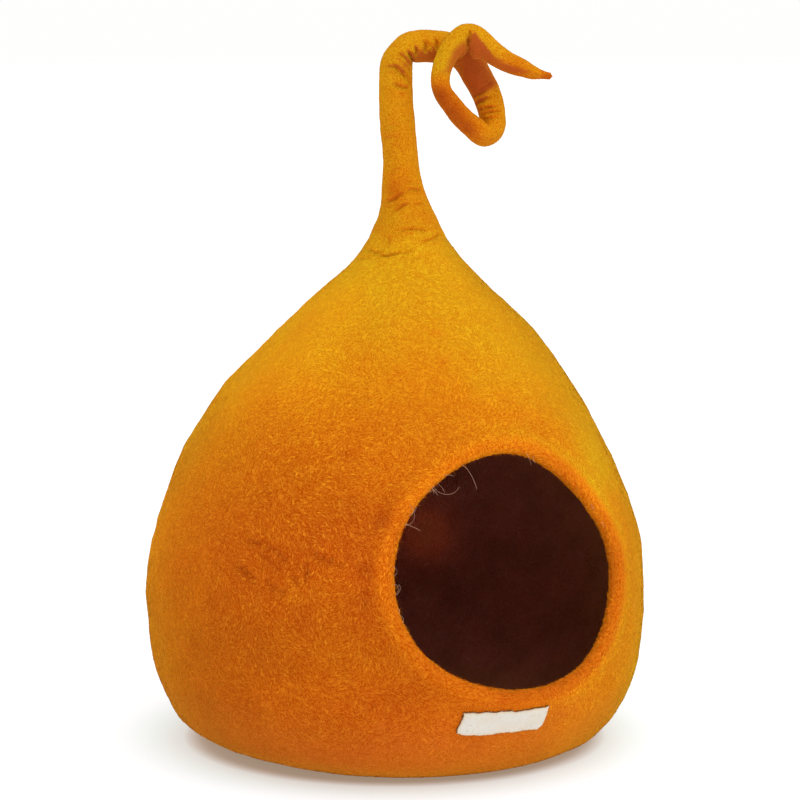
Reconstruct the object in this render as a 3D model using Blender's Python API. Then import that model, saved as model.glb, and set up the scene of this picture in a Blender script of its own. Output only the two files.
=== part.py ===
"""A pet cave felted from wool in one piece, with a label sewn on under its entrance.

The body is fig shaped and stands on a flat base. Its wall closes at the neck, where it is drawn
out into a solid tail that rises, bends over and makes one loop. The entrance is an oval opening
with a rounded edge. Sizes are in metres and radians, +Z is up and the entrance faces -Y.
"""

import bpy
import numpy as np

# Wall of the body.
WALL = 0.009
# Outer side of the body from the floor up. Columns: radius, height, lean of the level's centre
# along the tail's run.
BODY_LEVELS = (
    (0.125, 0.000, 0.009),
    (0.166, 0.010, 0.007),
    (0.188, 0.022, -0.002),
    (0.198, 0.039, -0.001),
    (0.207, 0.064, 0.000),
    (0.211, 0.098, 0.000),
    (0.211, 0.137, -0.001),
    (0.205, 0.177, 0.000),
    (0.192, 0.216, 0.000),
    (0.175, 0.254, -0.001),
    (0.151, 0.295, 0.000),
    (0.127, 0.325, 0.003),
    (0.100, 0.355, 0.006),
    (0.068, 0.385, 0.008),
    (0.047, 0.406, 0.009),
    (0.031, 0.425, 0.009),
)
# Slow unevenness of the wall. Columns: size, lobes around, turns over the height, phase.
WALL_LOBES = (
    (0.0014, 2, 0.7, 0.4),
    (0.0012, 3, -1.1, 2.0),
    (0.0008, 5, 1.7, 4.1),
)

# Entrance: half sizes along the wall, height of its middle above the floor, how much one side
# sits lower than the other, and its edge.
ENTRANCE_HALF_WIDTH = 0.1155
ENTRANCE_HALF_HEIGHT = 0.1015
ENTRANCE_HEIGHT = 0.1785
ENTRANCE_SLANT = -0.045
LIP_SWELL = 0.0016
LIP_REACH = 0.014
LIP_STEPS = 5

# The tail curls in an upright plane turned this far from the entrance's plane.
TAIL_TURN = np.radians(-30.0)
# Middle line of the neck and tail. Columns: run along the plane, offset in front of it, height,
# radius.
TAIL_STATIONS = (
    (0.009, 0.000, 0.425, 0.0310),
    (0.008, 0.000, 0.440, 0.0250),
    (0.006, 0.000, 0.455, 0.0197),
    (0.004, 0.000, 0.473, 0.0163),
    (0.003, 0.000, 0.492, 0.0146),
    (0.000, 0.000, 0.525, 0.0144),
    (-0.001, 0.000, 0.552, 0.0138),
    (0.000, 0.000, 0.569, 0.0138),
    (0.005, 0.000, 0.580, 0.0138),
    (0.016, -0.002, 0.583, 0.0136),
    (0.030, -0.006, 0.583, 0.0133),
    (0.044, -0.011, 0.581, 0.0130),
    (0.057, -0.014, 0.573, 0.0127),
    (0.067, -0.014, 0.558, 0.0124),
    (0.075, -0.012, 0.542, 0.0120),
    (0.079, -0.007, 0.527, 0.0112),
    (0.079, -0.001, 0.516, 0.0104),
    (0.072, 0.006, 0.511, 0.0099),
    (0.063, 0.010, 0.517, 0.0094),
    (0.053, 0.013, 0.526, 0.0089),
    (0.044, 0.015, 0.537, 0.0084),
    (0.037, 0.016, 0.548, 0.0081),
    (0.036, 0.016, 0.560, 0.0081),
    (0.040, 0.016, 0.573, 0.0086),
    (0.047, 0.016, 0.585, 0.0090),
    (0.055, 0.015, 0.592, 0.0091),
    (0.062, 0.014, 0.592, 0.0093),
    (0.070, 0.013, 0.586, 0.0095),
    (0.079, 0.012, 0.578, 0.0094),
    (0.090, 0.011, 0.571, 0.0087),
    (0.102, 0.010, 0.566, 0.0075),
    (0.112, 0.009, 0.562, 0.0058),
    (0.120, 0.008, 0.560, 0.0038),
    (0.126, 0.008, 0.559, 0.0027),
)
TIP_LENGTH = 0.002

# The hollow reaches up to this arc length short of the neck, then closes in a low dome.
HOLLOW_SHORT_OF_NECK = 0.030
HOLLOW_DOME = 0.012

# Label: size, its middle below and beside the middle of the entrance, and how it lies.
LABEL_WIDTH = 0.076
LABEL_HEIGHT = 0.0195
LABEL_THICKNESS = 0.0010
LABEL_GAP = 0.0004
LABEL_ASIDE = -0.0185
LABEL_MIDDLE_HEIGHT = 0.0605
LABEL_SLOPE = -0.055
LABEL_SHEAR = 0.22

# Divisions of the wall. The entrance takes out a block of these cells.
AROUND = 56
FLOOR_RINGS = 4
ROWS_BELOW = 6
ENTRANCE_ROWS = 8
ENTRANCE_COLUMNS = 8
ROWS_ABOVE = 11
TAIL_AROUND = AROUND // 2
TAIL_RING_SPACING = 0.0075
DOME_RINGS = 2
LABEL_COLUMNS = 14
LABEL_ROWS = 4

FELT_COLOUR = (0.70, 0.24, 0.012, 1.0)
LABEL_COLOUR = (0.83, 0.79, 0.70, 1.0)

RUN_AXIS = np.array([np.cos(TAIL_TURN), np.sin(TAIL_TURN), 0.0])
FRONT_AXIS = np.array([np.sin(TAIL_TURN), -np.cos(TAIL_TURN), 0.0])
UP_AXIS = np.array([0.0, 0.0, 1.0])


def smooth_through(places, values, at, first_slope=None):
    """Cubic pieces through the values, each knot's slope taken from its two neighbours."""
    slopes = np.gradient(values, axis=0) / np.gradient(places)[:, None]
    if first_slope is not None:
        slopes[0] = first_slope
    at = np.asarray(at, float)
    k = np.clip(np.searchsorted(places, at, side="right") - 1, 0, len(places) - 2)
    gap = (places[k + 1] - places[k])[..., None]
    t = (at[..., None] - places[k][..., None]) / gap
    start = values[k] * (1 + 2 * t) * (1 - t) ** 2 + slopes[k] * gap * t * (1 - t) ** 2
    end = values[k + 1] * t * t * (3 - 2 * t) + slopes[k + 1] * gap * t * t * (t - 1)
    return start + end


def chord_lengths(points):
    """Distance travelled along a run of points, starting at zero."""
    steps = np.linalg.norm(np.diff(points, axis=0), axis=1)
    return np.concatenate([[0.0], np.cumsum(steps)])


LEVELS = np.array(BODY_LEVELS)
LEVEL_ARC = chord_lengths(LEVELS[:, :2])
SIDE_LENGTH = LEVEL_ARC[-1]
ENTRANCE_ARC = np.interp(ENTRANCE_HEIGHT, LEVELS[:, 1], LEVEL_ARC)
ENTRANCE_RADIUS = np.interp(ENTRANCE_HEIGHT, LEVELS[:, 1], LEVELS[:, 0])


def unevenness(angle, height):
    """Slow lobes of the wall, fading out at the floor and at the neck."""
    turn = 2 * np.pi * height / LEVELS[-1, 1]
    total = np.zeros(np.broadcast(angle, height).shape)
    for size, around, turns, phase in WALL_LOBES:
        total += size * np.cos(around * angle + turns * turn + phase)
    fade = np.clip(height / 0.06, 0, 1) * np.clip((0.40 - height) / 0.08, 0, 1)
    return total * fade * fade * (3 - 2 * fade)


def entrance_distance(angle, arc):
    """How far a place on the wall is outside the edge of the entrance, in metres."""
    across = angle * ENTRANCE_RADIUS
    along = arc - ENTRANCE_ARC - ENTRANCE_SLANT * across
    middle_size = (ENTRANCE_HALF_WIDTH + ENTRANCE_HALF_HEIGHT) / 2
    size = np.hypot(across / ENTRANCE_HALF_WIDTH, along / ENTRANCE_HALF_HEIGHT)
    return (size - 1) * middle_size


def lip(angle, arc):
    """Swelling of the wall on each side near the entrance."""
    away = np.clip(entrance_distance(angle, arc), 0, None)
    return LIP_SWELL * np.exp(-((away / LIP_REACH) ** 2))


def bare_wall(angle, arc):
    """Outer side of the body at an angle from the entrance and an arc length up the side."""
    radius, height, lean = np.moveaxis(
        smooth_through(LEVEL_ARC, LEVELS, arc, (1.0, 0.0, 0.0)), -1, 0
    )
    radius = radius + unevenness(angle, height)
    x = radius * np.sin(angle) + lean * RUN_AXIS[0]
    y = -radius * np.cos(angle) + lean * RUN_AXIS[1]
    return np.stack([x, y, height], axis=-1)


def wall_normal(angle, arc):
    """Unit normal of the body's outer side, facing out."""
    step = 1e-4
    low = np.clip(arc - step, 0, SIDE_LENGTH)
    high = np.clip(arc + step, 0, SIDE_LENGTH)
    around = bare_wall(angle + step, arc) - bare_wall(angle - step, arc)
    up = bare_wall(angle, high) - bare_wall(angle, low)
    normal = np.cross(around, up)
    return normal / np.linalg.norm(normal, axis=-1, keepdims=True)


def wall(angle, arc, depth):
    """A place in the wall, this deep under its outer side. The lip swells it both ways."""
    angle, arc = np.broadcast_arrays(angle, arc)
    out = lip(angle, arc) * np.clip(1 - 2 * depth / WALL, -1, 1) - depth
    return bare_wall(angle, arc) + out[..., None] * wall_normal(angle, arc)


def round_entrance(angle, arc, half_angle, half_arc):
    """Moves the wall's divisions so that the entrance's block of cells gets an oval edge."""
    across = angle * ENTRANCE_RADIUS / ENTRANCE_HALF_WIDTH
    along = (arc - ENTRANCE_ARC) / ENTRANCE_HALF_HEIGHT
    block = np.maximum(np.abs(angle) / half_angle, np.abs(arc - ENTRANCE_ARC) / half_arc)
    round_size = np.maximum(np.hypot(across, along), 1e-9)
    fade = np.clip((2.1 - block) / 1.1, 0, 1)
    fade = fade * fade * (3 - 2 * fade)
    factor = 1 + fade * (block / round_size - 1)
    slant = ENTRANCE_SLANT * fade * angle * factor * ENTRANCE_RADIUS
    return angle * factor, ENTRANCE_ARC + (arc - ENTRANCE_ARC) * factor + slant


def wall_divisions():
    """Angles and arc lengths of the wall's grid, after the entrance has been rounded."""
    half_angle = ENTRANCE_COLUMNS / 2 * 2 * np.pi / AROUND
    half_arc = 0.84 * ENTRANCE_HALF_HEIGHT
    below = np.linspace(0, ENTRANCE_ARC - half_arc, ROWS_BELOW + 1)
    block = np.linspace(ENTRANCE_ARC - half_arc, ENTRANCE_ARC + half_arc, ENTRANCE_ROWS + 1)
    above = np.linspace(ENTRANCE_ARC + half_arc, SIDE_LENGTH, ROWS_ABOVE + 1)
    arcs = np.concatenate([below, block[1:], above[1:]])
    steps = np.arange(AROUND) - AROUND // 2
    angles = steps * 2 * np.pi / AROUND
    angle, arc = np.meshgrid(angles, arcs)
    return round_entrance(angle, arc, half_angle, half_arc)


class Shell:
    """Points and faces gathered ring by ring."""

    def __init__(self):
        self.points = []
        self.faces = []
        self.count = 0

    def add(self, points):
        """Takes in points and gives back their numbers, in the same layout."""
        points = np.asarray(points, float)
        numbers = self.count + np.arange(points[..., 0].size).reshape(points.shape[:-1])
        self.points.append(points.reshape(-1, 3))
        self.count += numbers.size
        return numbers

    def band(self, lower, upper, skip=()):
        """Four-sided faces between two rings with as many points."""
        count = len(lower)
        for i in range(count):
            if i not in skip:
                j = (i + 1) % count
                self.faces.append((lower[i], lower[j], upper[j], upper[i]))

    def halving_band(self, lower, upper):
        """Faces between a ring and one with half its points."""
        count = len(upper)
        for i in range(count):
            j = (i + 1) % count
            a, b, c = lower[2 * i], lower[2 * i + 1], lower[(2 * i + 2) % len(lower)]
            self.faces.append((a, b, upper[i]))
            self.faces.append((b, upper[j], upper[i]))
            self.faces.append((b, c, upper[j]))

    def close(self, ring, point):
        """A fan from a ring to one point."""
        tip = int(self.add(np.asarray([point]))[0])
        for i in range(len(ring)):
            self.faces.append((ring[i], ring[(i + 1) % len(ring)], tip))

    def flip_from(self, first):
        """Turns round every face from this one on."""
        self.faces[first:] = [tuple(reversed(face)) for face in self.faces[first:]]


def entrance_columns():
    """First grid columns of the cells that the entrance takes out."""
    first = AROUND // 2 - ENTRANCE_COLUMNS // 2
    return range(first, first + ENTRANCE_COLUMNS)


def entrance_loop(grid):
    """The grid's points round the entrance, in order."""
    columns = entrance_columns()
    left, right = columns[0], columns[-1] + 1
    bottom, top = ROWS_BELOW, ROWS_BELOW + ENTRANCE_ROWS
    return np.concatenate([
        grid[bottom, left:right],
        grid[bottom:top, right],
        grid[top, right:left:-1],
        grid[top:bottom:-1, left],
    ])


def add_side(shell, angle, arc, depth):
    """One side of the wall, with the entrance left open. Gives back its grid."""
    grid = shell.add(wall(angle, arc, depth))
    for row in range(len(grid) - 1):
        in_block = ROWS_BELOW <= row < ROWS_BELOW + ENTRANCE_ROWS
        skip = entrance_columns() if in_block else ()
        shell.band(grid[row], grid[row + 1], skip)
    return grid


def add_floor(shell, ring, centre_height):
    """Rings from the wall's lowest ring in to the middle of the floor."""
    edge = np.concatenate(shell.points)[ring]
    centre = np.array([0.0, 0.0, centre_height])
    outer = ring
    for step in range(FLOOR_RINGS - 1, 0, -1):
        inner = shell.add(centre + (edge - centre) * step / FLOOR_RINGS)
        shell.band(inner, outer)
        outer = inner
    shell.close(outer[::-1], centre)


def add_lip(shell, angle, arc, outer, inner):
    """The rounded edge of the entrance, from the outer side of the wall to the inner side."""
    outside = wall(angle, arc, 0.0)
    inside = wall(angle, arc, WALL)
    nearer = wall(angle * 0.98, ENTRANCE_ARC + (arc - ENTRANCE_ARC) * 0.98, WALL / 2)
    inward = nearer - wall(angle, arc, WALL / 2)
    inward /= np.linalg.norm(inward, axis=1, keepdims=True)
    middle = (outside + inside) / 2
    half = (outside - inside) / 2
    size = np.linalg.norm(half, axis=1, keepdims=True)
    last = outer
    for step in range(1, LIP_STEPS):
        turn = np.pi * step / LIP_STEPS
        ring = shell.add(middle + half * np.cos(turn) + inward * size * np.sin(turn))
        shell.band(last, ring)
        last = ring
    shell.band(last, inner)


def add_hollow_top(shell, ring):
    """A low dome that closes the hollow under the neck."""
    edge = np.concatenate(shell.points)[ring]
    centre = edge.mean(axis=0)
    last = ring
    for step in range(1, DOME_RINGS + 1):
        turn = np.pi / 2 * step / (DOME_RINGS + 1)
        rise = np.array([0.0, 0.0, HOLLOW_DOME * np.sin(turn)])
        inner = shell.add(centre + (edge - centre) * np.cos(turn) + rise)
        shell.band(last, inner)
        last = inner
    shell.close(last, centre + np.array([0.0, 0.0, HOLLOW_DOME]))


def tail_line():
    """Even stations along the tail: middle points, tangents and radii."""
    table = np.array(TAIL_STATIONS)
    middle = table[:, :1] * RUN_AXIS + table[:, 1:2] * FRONT_AXIS + table[:, 2:3] * UP_AXIS
    places = chord_lengths(middle)
    count = int(round(places[-1] / TAIL_RING_SPACING)) + 1
    at = np.linspace(0, places[-1], count)
    known = np.concatenate([middle, table[:, 3:]], axis=1)
    line = smooth_through(places, known, at)
    tangent = np.gradient(line[:, :3], axis=0)
    tangent[0] = UP_AXIS
    tangent /= np.linalg.norm(tangent, axis=1, keepdims=True)
    return line[:, :3], tangent, line[:, 3], at


def tail_rings():
    """Rings of the tail. On the inside of a bend a ring stays short of the bend's centre."""
    middle, tangent, radius, at = tail_line()
    bend = np.gradient(tangent, at, axis=0)
    across = FRONT_AXIS
    # The first point of a ring lies at the back, in line with the wall's first column.
    start = np.arctan2(RUN_AXIS[1], FRONT_AXIS[1])
    angle = start + 2 * np.pi * np.arange(TAIL_AROUND) / TAIL_AROUND
    rings = []
    for centre, along, size, turning in zip(middle, tangent, radius, bend):
        across = across - along * (across @ along)
        across = across / np.linalg.norm(across)
        side = np.cross(along, across)
        offset = size * (np.cos(angle)[:, None] * across + np.sin(angle)[:, None] * side)
        tightness = np.linalg.norm(turning)
        if tightness > 1.0:
            towards = turning / tightness
            reach = 0.8 / tightness
            inward = offset @ towards
            limited = np.where(inward > 0, reach * np.tanh(inward / reach), inward)
            offset = offset + (limited - inward)[:, None] * towards
        rings.append(centre + offset)
    return np.array(rings), middle[-1] + tangent[-1] * TIP_LENGTH


def cave_shell():
    """The whole felt piece: outer side, tail, hollow and the entrance's edge."""
    shell = Shell()
    angle, arc = wall_divisions()
    outer = add_side(shell, angle, arc, 0.0)
    add_floor(shell, outer[0], 0.0)
    rings, tip = tail_rings()
    last = outer[-1]
    for number, points in enumerate(rings[1:]):
        ring = shell.add(points)
        if number == 0:
            shell.halving_band(last, ring)
        else:
            shell.band(last, ring)
        last = ring
    shell.close(last, tip)

    first_inside = len(shell.faces)
    rows = int(np.searchsorted(arc[:, 0], SIDE_LENGTH - HOLLOW_SHORT_OF_NECK)) + 1
    inner = add_side(shell, angle[:rows], arc[:rows], WALL)
    add_floor(shell, inner[0], WALL)
    add_hollow_top(shell, inner[-1])
    shell.flip_from(first_inside)

    loop_angle = entrance_loop(angle)
    loop_arc = entrance_loop(arc)
    add_lip(shell, loop_angle, loop_arc, entrance_loop(outer), entrance_loop(inner))
    return np.concatenate(shell.points), shell.faces


def label_shell():
    """A thin sheet that follows the wall, leaning and sloping a little."""
    shell = Shell()
    across, along = np.meshgrid(
        np.linspace(-0.5, 0.5, LABEL_COLUMNS + 1), np.linspace(-0.5, 0.5, LABEL_ROWS + 1)
    )
    middle_arc = np.interp(LABEL_MIDDLE_HEIGHT, LEVELS[:, 1], LEVEL_ARC)
    run = across * LABEL_WIDTH + along * LABEL_HEIGHT * LABEL_SHEAR
    angle = (LABEL_ASIDE + run) / np.interp(LABEL_MIDDLE_HEIGHT, LEVELS[:, 1], LEVELS[:, 0])
    arc = middle_arc + along * LABEL_HEIGHT + LABEL_SLOPE * run
    back = shell.add(wall(angle, arc, -LABEL_GAP))
    front = shell.add(wall(angle, arc, -LABEL_GAP - LABEL_THICKNESS))
    for row in range(LABEL_ROWS):
        for column in range(LABEL_COLUMNS):
            here = (slice(row, row + 2), slice(column, column + 2))
            a, b, d, c = front[here].ravel()
            shell.faces.append((a, b, c, d))
            a, b, d, c = back[here].ravel()
            shell.faces.append((d, c, b, a))
    shell.band(rim_of(back), rim_of(front))
    return np.concatenate(shell.points), shell.faces


def rim_of(grid):
    """The outer points of a grid, in order."""
    return np.concatenate([grid[0, :-1], grid[:-1, -1], grid[-1, :0:-1], grid[:0:-1, 0]])


def make_material(name, colour, roughness):
    """A plain rough cloth."""
    material = bpy.data.materials.new(name)
    material.use_nodes = True
    shader = material.node_tree.nodes["Principled BSDF"]
    shader.inputs["Base Color"].default_value = colour
    shader.inputs["Roughness"].default_value = roughness
    material.diffuse_color = colour
    return material


def make_node(name, points, faces, material, collection):
    """One closed mesh object, without the points that no face uses."""
    used = np.unique(np.concatenate([np.array(face) for face in faces]))
    renumber = np.full(len(points), -1)
    renumber[used] = np.arange(len(used))
    mesh = bpy.data.meshes.new(name)
    mesh.from_pydata(points[used].tolist(), [], [renumber[list(f)].tolist() for f in faces])
    mesh.polygons.foreach_set("use_smooth", np.ones(len(faces), bool))
    mesh.materials.append(material)
    mesh.update()
    node = bpy.data.objects.new(name, mesh)
    collection.objects.link(node)
    return node


def main():
    for thing in list(bpy.data.objects):
        bpy.data.objects.remove(thing, do_unlink=True)
    collection = bpy.data.collections.new("felt_cave_parts")
    bpy.context.scene.collection.children.link(collection)
    felt = make_material("wool_felt", FELT_COLOUR, 0.95)
    cloth = make_material("label_cloth", LABEL_COLOUR, 0.9)
    make_node("felt_cave", *cave_shell(), felt, collection)
    make_node("sewn_label", *label_shell(), cloth, collection)


main()
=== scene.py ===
"""A pet cave felted from wool: a fig-shaped body with an oval entrance, drawn out at its neck into
a tail that bends over and makes one loop, and a bare cloth label sewn on under the entrance.

The packed model is the fixed frame. The felt is made again over it as one finer closed surface
with its creases and lumps, and short fibres, loose curls, the label and its stitches are added.
Sizes are in metres and radians, +Z is up and the entrance faces -Y.
"""

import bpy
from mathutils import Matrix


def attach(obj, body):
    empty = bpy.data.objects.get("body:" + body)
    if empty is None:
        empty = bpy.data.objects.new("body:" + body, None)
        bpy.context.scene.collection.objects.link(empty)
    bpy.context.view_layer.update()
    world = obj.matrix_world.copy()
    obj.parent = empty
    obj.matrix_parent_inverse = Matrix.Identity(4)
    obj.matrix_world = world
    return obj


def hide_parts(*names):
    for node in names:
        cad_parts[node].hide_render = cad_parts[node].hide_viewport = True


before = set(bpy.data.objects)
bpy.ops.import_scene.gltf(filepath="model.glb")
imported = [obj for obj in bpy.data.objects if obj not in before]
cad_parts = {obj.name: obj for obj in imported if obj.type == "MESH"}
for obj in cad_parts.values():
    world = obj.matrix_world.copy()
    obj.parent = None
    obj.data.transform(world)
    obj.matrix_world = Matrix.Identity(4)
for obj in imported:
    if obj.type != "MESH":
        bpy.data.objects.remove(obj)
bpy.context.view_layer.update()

from types import SimpleNamespace

import bpy
import numpy as np
from bpy.props import FloatProperty, FloatVectorProperty, IntProperty, PointerProperty
from mathutils import Vector

bl_info = {
    "name": "Felt pet cave",
    "version": (1, 0, 0),
    "blender": (4, 5, 0),
    "location": "3D View > Sidebar > Felt Cave",
    "description": "Builds a felted pet cave: its skin, fibres, curls, label, stitches and stage",
    "category": "Add Mesh",
}

# Wall of the body.
WALL = 0.009
# Outer side of the body from the floor up. Columns: radius, height, lean of the level's centre
# along the tail's run.
BODY_LEVELS = (
    (0.125, 0.000, 0.008),
    (0.165, 0.010, 0.005),
    (0.185, 0.022, -0.002),
    (0.1965, 0.039, -0.001),
    (0.207, 0.064, 0.000),
    (0.211, 0.098, 0.000),
    (0.211, 0.137, -0.001),
    (0.205, 0.177, 0.000),
    (0.192, 0.216, 0.000),
    (0.175, 0.254, -0.001),
    (0.1505, 0.295, 0.000),
    (0.1258, 0.325, 0.0035),
    (0.0990, 0.355, 0.0068),
    (0.0678, 0.385, 0.0083),
    (0.0460, 0.406, 0.0095),
    (0.0322, 0.425, 0.009),
)
# Slow unevenness of the wall. Columns: size, lobes around, turns over the height, phase.
WALL_LOBES = (
    (0.0014, 2, 0.7, 0.4),
    (0.0012, 3, -1.1, 2.0),
    (0.0008, 5, 1.7, 4.1),
)

# Entrance: half sizes along the wall, height of its middle above the floor, how much one side
# sits lower than the other, and its edge.
ENTRANCE_HALF_WIDTH = 0.1155
ENTRANCE_HALF_HEIGHT = 0.1015
ENTRANCE_HEIGHT = 0.1785
ENTRANCE_SLANT = -0.045
# Where the oval bulges out (+) or in (-). Columns: degrees round it from the right, width in
# degrees, amount against its size.
ENTRANCE_BULGES = (
    (28.0, 26.0, -0.030),
    (75.0, 20.0, 0.032),
    (125.0, 18.0, -0.016),
    (225.0, 20.0, 0.024),
    (272.0, 18.0, -0.012),
)
LIP_SWELL = 0.0016
LIP_REACH = 0.014
LIP_STEPS = 10

# The tail curls in an upright plane turned this far from the entrance's plane.
TAIL_TURN = np.radians(-30.0)
# Middle line of the neck and tail. Columns: run along the plane, offset in front of it, height,
# radius.
TAIL_STATIONS = (
    (0.009, 0.000, 0.425, 0.0322),
    (0.008, 0.000, 0.440, 0.0256),
    (0.006, 0.000, 0.455, 0.0197),
    (0.004, 0.000, 0.473, 0.0163),
    (0.003, 0.000, 0.492, 0.0146),
    (0.000, 0.000, 0.525, 0.0144),
    (-0.001, 0.000, 0.552, 0.0138),
    (0.000, 0.000, 0.569, 0.0138),
    (0.005, 0.000, 0.580, 0.0138),
    (0.016, -0.002, 0.583, 0.0136),
    (0.030, -0.006, 0.583, 0.0133),
    (0.044, -0.011, 0.581, 0.0130),
    (0.057, -0.014, 0.573, 0.0127),
    (0.067, -0.014, 0.558, 0.0124),
    (0.075, -0.012, 0.542, 0.0120),
    (0.079, -0.007, 0.527, 0.0112),
    (0.079, -0.001, 0.516, 0.0104),
    (0.072, 0.006, 0.511, 0.0099),
    (0.063, 0.010, 0.517, 0.0094),
    (0.053, 0.013, 0.526, 0.0089),
    (0.044, 0.015, 0.537, 0.0084),
    (0.037, 0.016, 0.548, 0.0081),
    (0.036, 0.016, 0.560, 0.0081),
    (0.040, 0.016, 0.573, 0.0086),
    (0.047, 0.016, 0.585, 0.0090),
    (0.055, 0.015, 0.592, 0.0091),
    (0.062, 0.014, 0.592, 0.0093),
    (0.070, 0.013, 0.586, 0.0095),
    (0.079, 0.012, 0.578, 0.0094),
    (0.090, 0.011, 0.571, 0.0087),
    (0.102, 0.010, 0.566, 0.0075),
    (0.112, 0.009, 0.562, 0.0058),
    (0.120, 0.008, 0.560, 0.0038),
    (0.126, 0.008, 0.559, 0.0027),
)
TIP_LENGTH = 0.002
# The tail rises upright over its first stations. Over this length from the neck's foot its rings
# turn from level to square.
UPRIGHT_STATIONS = 6
UPRIGHT_FOOT = 0.035

# The hollow reaches up to this arc length short of the neck, then closes in a low dome.
HOLLOW_SHORT_OF_NECK = 0.030
HOLLOW_DOME = 0.012

# Divisions of the skin. The entrance takes out a block of these cells.
AROUND = 384
ROWS_BELOW = 34
ENTRANCE_ROWS = 48
ENTRANCE_COLUMNS = 56
ROWS_ABOVE = 40
ROWS_TO_NECK = 46
NARROWING_ARC = 0.436
TAIL_RING_SPACING = 0.00115
NECK_RINGS = 64
INNER_ROWS_ABOVE = 30
DOME_RINGS = 6
# Where each part of the skin lies on its flat map. Each row: left, bottom, right, top.
MAP_PARTS = {
    "base": (0.0, 0.0, 1.0, 0.05),
    "side": (0.0, 0.05, 1.0, 0.45),
    "narrowing": (0.0, 0.45, 1.0, 0.4525),
    "shoulder": (0.0, 0.4525, 1.0, 0.54),
    "neck": (0.0, 0.55, 0.28, 0.70),
    "neck_end": (0.0, 0.70, 0.28, 0.7025),
    "tail": (0.0, 0.7025, 0.28, 0.99),
    "edge": (0.3, 0.55, 1.0, 0.60),
    "edge_end": (0.3, 0.60, 1.0, 0.605),
    "inner": (0.3, 0.62, 1.0, 0.90),
    "inner_top": (0.3, 0.90, 1.0, 0.93),
    "inner_base": (0.3, 0.94, 1.0, 0.99),
}

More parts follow.
